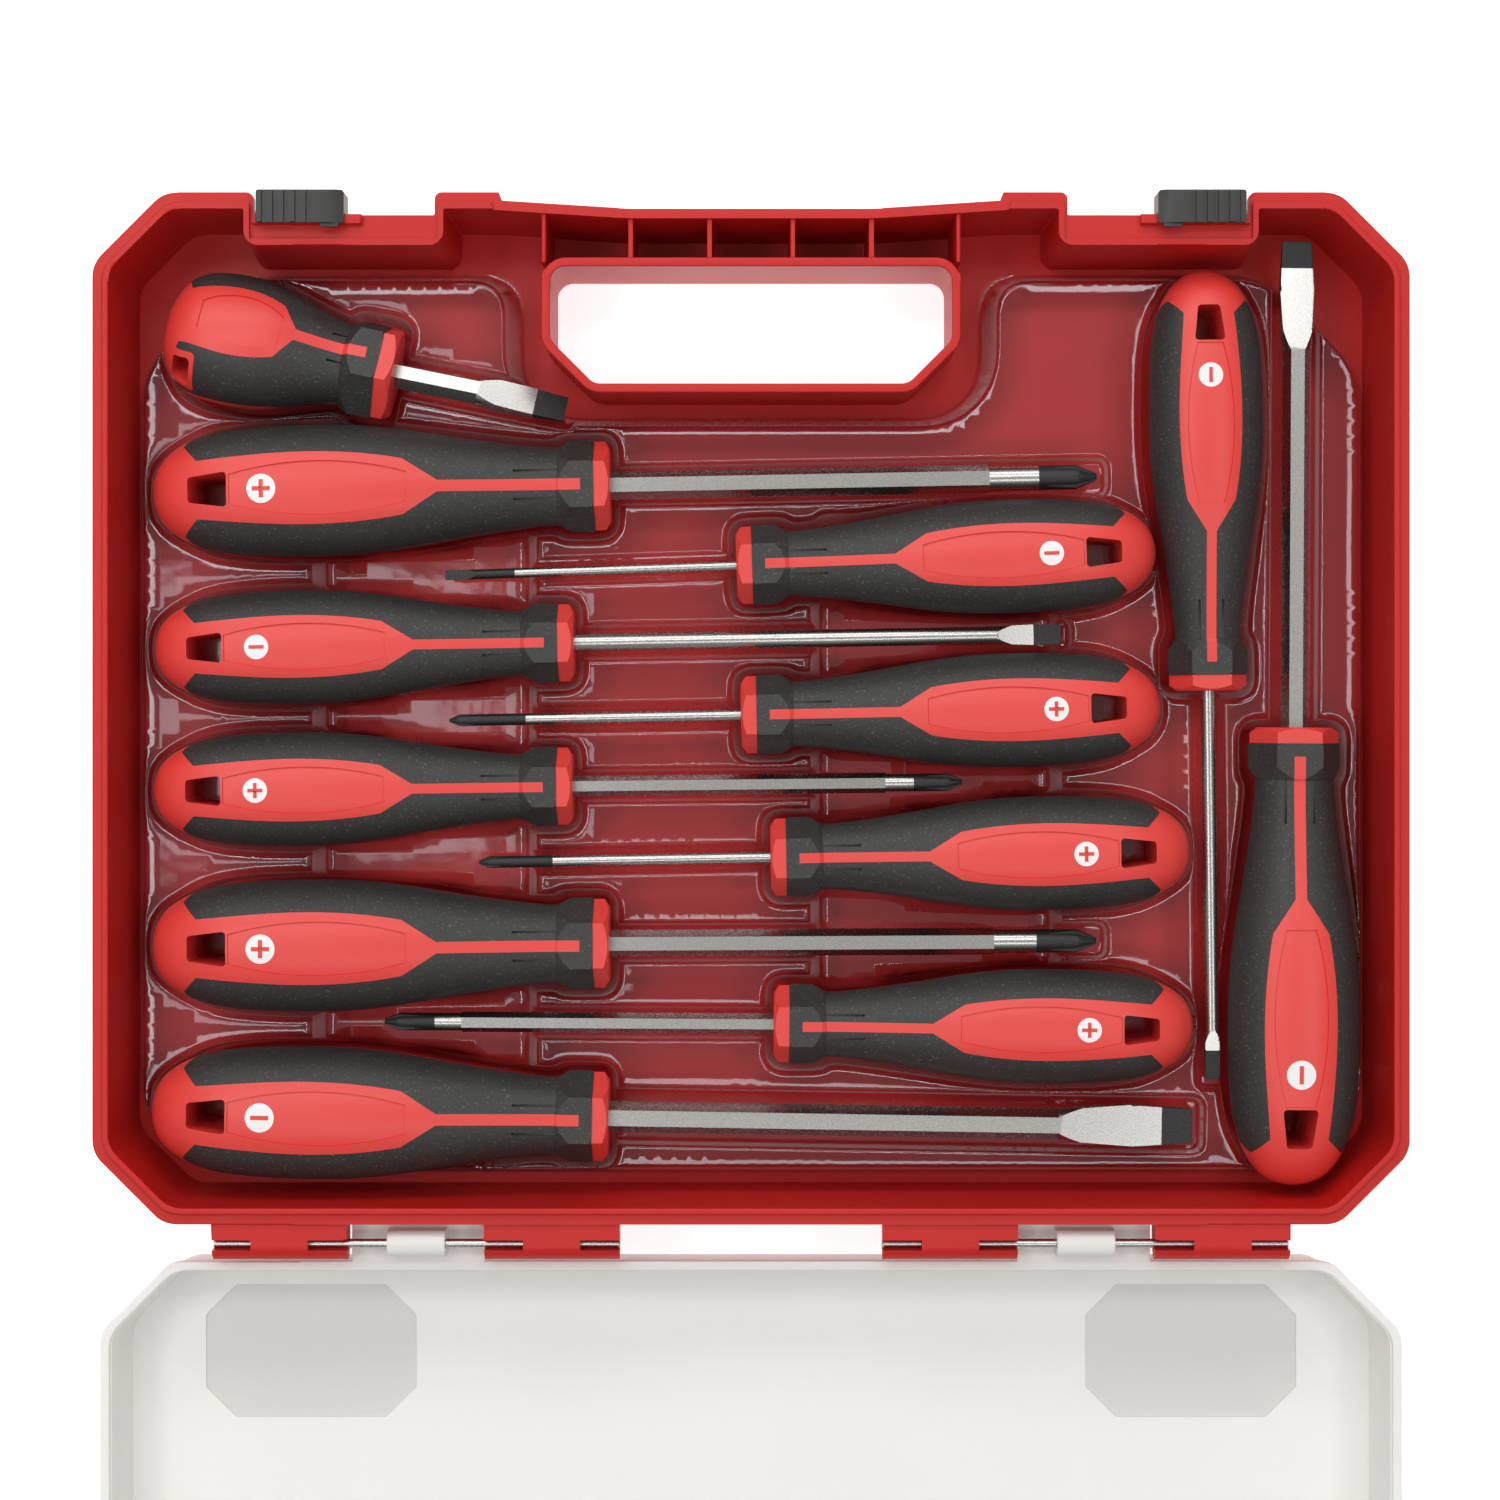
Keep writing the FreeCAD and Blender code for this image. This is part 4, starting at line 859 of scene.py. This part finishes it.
@dataclass
class Tray:
    """Clear tray formed from one sheet over the drivers, in millimetres."""

    drivers: list[Driver]
    half_width: float = 166.6
    half_depth: float = 130.5
    floor: float = 2.85
    web: float = 20.0
    margin: float = 9.6
    margin_hinge: float = 12.0
    margin_handle: float = 20.1
    cut: float = 14.5
    cut_handle: float = 23.5
    skirt: float = 2.4
    foot: float = 1.0
    window_side: float = 63.1
    window_under: float = 72.9
    window_cut: float = 11.0
    step: float = 1.3
    hidden: float = 0.3

    corner: float = 9.0
    pocket_gap: float = 1.9
    butt_gap: float = 0.9
    channel_gap: float = 1.8
    trough_depth: float = 11.0
    grid: float = 4.0

    BEND = "bend"
    TROUGHS = ((-113.0, -55.5, -112.0, 50.0), (15.5, 80.0, -86.0, 50.0))
    POCKET_CORNER = 5.0
    CHANNEL_CORNER = 3.0
    POCKET_FORM = (1.2, 2.0, 2.6)  # lean of the wall, rounding at the top and at the foot
    CHANNEL_FORM = (0.4, 1.3, 1.2)
    TROUGH_FORM = (2.0, 2.0, 2.6)
    CREASE_DEPTH = 0.2
    HALVINGS = 6
    RIM_SLACK = 0.05
    RIM_ROWS = (-1.2, -0.7, -0.3, -0.05, 0.0)
    FOOT_ROWS = (0.0, 0.2, 0.6)

    def web_corners(self, grow: float) -> list[Point]:
        """Corners of the raised web, moved outwards, in counter-clockwise order."""
        x = self.half_width - self.margin + grow
        low = -self.half_depth + self.margin_hinge - grow
        high = self.half_depth - self.margin_handle + grow
        lean = grow * (2 - math.sqrt(2))
        cut, corner, dip = self.cut + lean, self.cut_handle + lean, self.window_cut - lean
        side, under = self.window_side - grow, self.window_under + grow
        half = [(x - cut, low), (x, low + cut), (x, high - corner), (x - corner, high), (side, high),
                (side, under + dip), (side - dip, under)]
        return half + [(-px, py) for px, py in reversed(half)]

    def spaces(self) -> list[Space]:
        """Pockets, channels and finger troughs."""
        found = []
        for driver in self.drivers:
            half = driver.kind.pocket(self.pocket_gap, self.butt_gap)
            corners = [driver.at(along, -wide) for along, wide in half]
            corners += [driver.at(along, wide) for along, wide in reversed(half)]
            low = driver.AXIS_Z - driver.kind.swell * 1.045 - 0.3
            outline = rounded_outline(corners, self.POCKET_CORNER, self.step)
            found.append(Space(outline, low, self.web, *self.POCKET_FORM))
            wide = max(driver.shaft, driver.tip_width) / 2 + self.channel_gap
            start, end = driver.kind.length - 6.0, driver.kind.length + driver.reach + 3.0
            corners = [driver.at(along, aside)
                       for along, aside in ((start, -wide), (end, -wide), (end, wide), (start, wide))]
            low = driver.AXIS_Z - driver.shaft / 2 - self.channel_gap
            outline = rounded_outline(corners, self.CHANNEL_CORNER, self.step)
            found.append(Space(outline, low, self.web, *self.CHANNEL_FORM))
        for x0, x1, y0, y1 in self.TROUGHS:
            corners = [(x0, y0), (x1, y0), (x1, y1), (x0, y1)]
            outline = rounded_outline(corners, self.POCKET_CORNER, self.step)
            found.append(Space(outline, self.web - self.trough_depth, self.web, *self.TROUGH_FORM))
        return found

    def _ring(self, grow: float) -> np.ndarray:
        """Outline of the raised web, moved outwards."""
        return rounded_outline(self.web_corners(grow), self.corner, self.step)

    def build(self, finishes: Finishes) -> None:
        """Mesh the sheet and dress it."""
        rim = self._ring(self.skirt + self.foot)
        places, heights = self._points(rim)
        self._mesh(places, heights, rim, finishes)

    def _points(self, rim: np.ndarray) -> tuple[np.ndarray, np.ndarray]:
        """Mesh points of the sheet.

        Args:
            rim: Outer outline of the sheet.

        Returns:
            Points in plan and the height of each.
        """
        spaces = self.spaces()
        edge = self._ring(0.0)
        lines = [(i, line) for i, space in enumerate(spaces, 1) for line in space.contours()]
        for grow in self.RIM_ROWS + tuple(self.skirt + row for row in self.FOOT_ROWS):
            lines.append((0, self._ring(grow)))
        grid = np.stack(np.meshgrid(np.arange(-160, 161, self.grid), np.arange(-126, 127, self.grid)), -1)
        free = [rim, grid.reshape(-1, 2), self._creases(spaces, edge)]
        places = np.vstack([line for _, line in lines] + free)
        levels = self._levels(places, spaces, edge)
        lowest = levels.min(0)
        keep = signed_distance(places, rim) < self.RIM_SLACK
        start = 0
        for i, line in lines:
            part = slice(start, start + len(line))
            keep[part] &= levels[i, part] < lowest[part] + self.hidden
            start += len(line)
        return places[keep], np.maximum(lowest[keep], self.floor)

    def _levels(self, places: np.ndarray, spaces: list[Space], edge: np.ndarray) -> np.ndarray:
        """Height at each place as the raised block and each space alone form it, one row for each of them."""
        block = self._skirt_height(signed_distance(places, edge))
        return np.array([block] + [space.height(places) for space in spaces])

    def _creases(self, spaces: list[Space], edge: np.ndarray) -> np.ndarray:
        """Mesh points on the lines where two spaces meet.

        Args:
            spaces: The sunk spaces.
            edge: Outline of the raised web.

        Returns:
            Points in plan, one per row.
        """
        across = np.arange(-self.half_width, self.half_width, self.step)
        along = np.arange(-self.half_depth, self.half_depth, self.step)
        grid = np.stack(np.meshgrid(across, along), -1)
        levels = self._levels(grid.reshape(-1, 2), spaces, edge).reshape(-1, *grid.shape[:2])
        lowest = levels.argmin(0)
        found = []
        for dy, dx in ((0, 1), (1, 0)):
            here, there = lowest[:len(along) - dy, :len(across) - dx], lowest[dy:, dx:]
            sunk = levels.min(0)[:len(along) - dy, :len(across) - dx] < self.web - self.CREASE_DEPTH
            y, x = np.nonzero((here != there) & sunk)
            one, two, row = here[y, x], there[y, x], np.arange(len(y))
            low, high = grid[y, x], grid[y + dy, x + dx]
            for _ in range(self.HALVINGS):
                points = (low + high) / 2
                level = self._levels(points, spaces, edge)
                before = (level[one, row] < level[two, row])[:, None]
                low, high = np.where(before, points, low), np.where(before, high, points)
            found.append(points[level.min(0) < self.web - self.CREASE_DEPTH])
        return np.vstack(found)

    def _skirt_height(self, outside: np.ndarray) -> np.ndarray:
        """Height of the raised block over the distance outwards from the web's outline."""
        turns = np.linspace(0.0, math.pi / 2, 5)
        radius = 1.2
        top_d, top_z = -radius + radius * np.sin(turns), self.web - radius + radius * np.cos(turns)
        foot_d, foot_z = self.skirt + 1.0 - np.cos(turns), self.floor + 1.0 - np.sin(turns)
        return np.interp(outside, np.concatenate([top_d, foot_d]), np.concatenate([top_z, foot_z]))

    def _mesh(self, places: np.ndarray, heights: np.ndarray, rim: np.ndarray, finishes: Finishes) -> None:
        """Join the points into one smooth sheet.

        Args:
            places: Points in plan.
            heights: Height of each point.
            rim: Outer outline of the sheet.
            finishes: The materials.
        """
        flat, _, faces, origin, _, _ = delaunay_2d_cdt([Vector(p) for p in places], [], [], 0, 1e-3)
        source = np.array([rows[0] for rows in origin])
        plan = np.array([(p.x, p.y) for p in flat])
        tall = heights[source]
        tris = np.array(faces)
        middle = plan[tris].mean(1)
        tris = tris[signed_distance(middle, rim) < 0.0]
        mesh = bpy.data.meshes.new("tray_sheet")
        mesh.from_pydata((np.column_stack([plan, tall]) * MM).tolist(), [], tris.tolist())
        mesh.shade_smooth()
        # Steepness of the sheet, which the tray finish uses to paint highlight lines on the bends
        bend = mesh.attributes.new(self.BEND, "FLOAT", "POINT")
        for vert in mesh.vertices:
            bend.data[vert.index].value = 1.0 - abs(vert.normal.z)
        obj = piece_from("tray_sheet", mesh)
        give(obj, finishes.tray)
        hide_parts("tray")
        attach(obj, "base")
        LOG.info("tray sheet: %d triangles", len(tris))


@dataclass
class Mouldings:
    """Base, lid, latches and hinge pins, in millimetres."""

    rounding: float = 0.4
    latch_rounding: float = 0.25
    panel_floor: float = 1.3
    cuts: Cuts = ((0, 0.0), (0, 102.9), (0, -102.9), (0, 115.6), (0, -115.6), (1, -136.0))

    def build(self, nodes: dict[str, bpy.types.Object], finishes: Finishes) -> None:
        """Soften the mouldings and dress them.

        Args:
            nodes: CAD nodes by name.
            finishes: The materials.
        """
        rows = (("base", "base_moulding", finishes.base, Slot.BASE, self.rounding),
                ("lid", "lid_moulding", finishes.lid, Slot.LID, self.rounding),
                ("latch_left", "latch_left_slider", finishes.latch, Slot.LATCH, self.latch_rounding),
                ("latch_right", "latch_right_slider", finishes.latch, Slot.LATCH, self.latch_rounding))
        for node, name, finish, slot, rounding in rows:
            obj = merged_copy(nodes[node], name, self.cuts)
            give(obj, finish)
            soften(obj, rounding * MM)
            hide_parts(node)
            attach(obj, node)
            LOG.info("%s: %d faces", name, len(obj.data.polygons))
            if node == "lid":
                self._shade_panels(obj, finishes)
        for side in ("left", "right"):
            give(nodes["hinge_pin_" + side], finishes.pin)

    def _shade_panels(self, lid: bpy.types.Object, finishes: Finishes) -> None:
        """Give the floors of the two panels sunk into the lid a darker finish: painted shade in the recesses.
        """
        lid.data.materials.append(finishes.lid_panel)
        for face in lid.data.polygons:
            if face.normal.z > 0.99 and abs(face.center.z - self.panel_floor * MM) < 0.1 * MM:
                face.material_index = 1


@dataclass
class Studio:
    """Floor, lamps and camera, in metres."""

    camera_height: float = 0.886
    lens: float = 80.7
    shift_x: float = -0.0007
    shift_y: float = -0.0277
    floor_size: float = 4.0
    floor_drop: float = 2e-4

    LAMPS = (
        ("back_softbox", (-0.2, 1.25, 1.15), (2.0, 0.5), 11.0),
        ("back_strip", (-0.1, 0.72, 1.9), (1.4, 0.3), 7.5),
        ("left_strip", (-0.92, 0.1, 1.9), (1.2, 0.3), 6.5),
        ("right_strip", (0.92, 0.0, 1.9), (1.2, 0.3), 5.0),
        ("front_strip", (0.0, -0.72, 1.9), (1.4, 0.3), 5.0),
        ("ceiling_panel", (-0.38, 0.0, 1.9), (0.22, 0.3), 0.55),
    )

    def build(self, finishes: Finishes) -> None:
        """Set up the whole studio."""
        self._floor(finishes)
        self._world()
        for name, place, size, power in self.LAMPS:
            self._lamp(name, place, size, power)
        self._camera()

    def _floor(self, finishes: Finishes) -> None:
        """Plain pale floor just under the case."""
        mesh = bpy.data.meshes.new("floor")
        signs = ((-1, -1), (1, -1), (1, 1), (-1, 1))
        corners = [(x * self.floor_size, y * self.floor_size, -self.floor_drop) for x, y in signs]
        mesh.from_pydata(corners, [], [(0, 1, 2, 3)])
        obj = piece_from("floor", mesh)
        give(obj, finishes.floor)

    def _world(self) -> None:
        """Even white light from all around."""
        world = bpy.data.worlds.new("studio_light")
        world.use_nodes = True
        nodes = Nodes(world.node_tree)
        light = nodes.add("ShaderNodeBackground", {"Color": (1.0, 0.99, 0.975), "Strength": 0.36})
        nodes.add("ShaderNodeOutputWorld", {"Surface": light.outputs[0]})
        bpy.context.scene.world = world
        bpy.context.scene.view_settings.view_transform = "Standard"

    def _lamp(self, name: str, place: Place, size: Point, power: float) -> None:
        """Oblong soft lamp that faces the case.

        Args:
            name: Name of the lamp.
            place: Where it stands.
            size: Width and height of its face.
            power: Light power in watts.
        """
        data = bpy.data.lights.new(name, "AREA")
        data.shape = "RECTANGLE"
        data.size, data.size_y = size
        data.energy = power
        lamp = bpy.data.objects.new(name, data)
        lamp.location = place
        lamp.rotation_euler = (-Vector(place)).to_track_quat("-Z", "Y").to_euler()
        bpy.context.scene.collection.objects.link(lamp)

    def _camera(self) -> None:
        """Camera straight above the case."""
        data = bpy.data.cameras.new("camera")
        data.sensor_width = 36.0
        data.lens = self.lens
        data.shift_x = self.shift_x
        data.shift_y = self.shift_y
        camera = bpy.data.objects.new("camera", data)
        camera.matrix_world = Matrix.Translation((0.0, 0.0, self.camera_height))
        bpy.context.scene.collection.objects.link(camera)
        bpy.context.scene.camera = camera


def drivers() -> list[Driver]:
    """All twelve drivers, in the order of the record."""
    return [
        Driver("stubby_slotted", STUBBY, (-150.1, 97.5), -11.4, 44.5, 6.0, 7.2, 8.0, Mark.NONE),
        Driver("large_cross_back", LARGE, (-153.6, 55.1), 1.07, 125.0, 6.3, 6.3, 15.0, Mark.PLUS),
        Driver("small_slotted", MEDIUM, (104.0, 40.3), 181.9, 75.0, 2.5, 2.5, 18.0, Mark.MINUS),
        Driver("medium_slotted", MEDIUM, (-153.2, 15.1), 0.98, 125.0, 4.5, 5.2, 7.0, Mark.MINUS),
        Driver("small_cross_back", MEDIUM, (105.2, 0.4), 181.1, 75.0, 3.0, 3.0, 19.7, Mark.PLUS),
        Driver("medium_cross_left", MEDIUM, (-153.5, -21.1), 0.6, 100.0, 4.5, 4.5, 12.5, Mark.PLUS),
        Driver("small_cross_front", MEDIUM, (112.8, -36.4), 181.0, 75.0, 3.0, 3.0, 19.0, Mark.PLUS),
        Driver("large_cross_front", LARGE, (-153.8, -61.0), 0.3, 125.0, 6.0, 6.0, 15.5, Mark.PLUS),
        Driver("medium_cross_right", MEDIUM, (113.6, -81.7), 179.66, 100.0, 4.5, 4.5, 13.0, Mark.PLUS),
        Driver("large_slotted_long", LARGE, (-154.0, -103.0), -0.95, 150.0, 7.0, 10.8, 8.0, Mark.MINUS),
        Driver("medium_slotted_side", MEDIUM, (116.2, 112.4), -89.3, 100.0, 3.6, 4.0, 7.5, Mark.MINUS),
        Driver("large_slotted_side", LARGE, (139.0, -122.4), 89.67, 125.0, 6.0, 8.8, 7.0, Mark.MINUS),
    ]


def main() -> None:
    """Build every piece and the studio."""
    logging.basicConfig(level=logging.INFO)
    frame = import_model()
    nodes = frame["nodes"]
    finishes = Finishes.make()
    Mouldings().build(nodes, finishes)
    found = drivers()
    for driver in found:
        driver.dress(nodes, finishes)
    Tray(found).build(finishes)
    Studio().build(finishes)


if __name__ == "__main__":
    main()
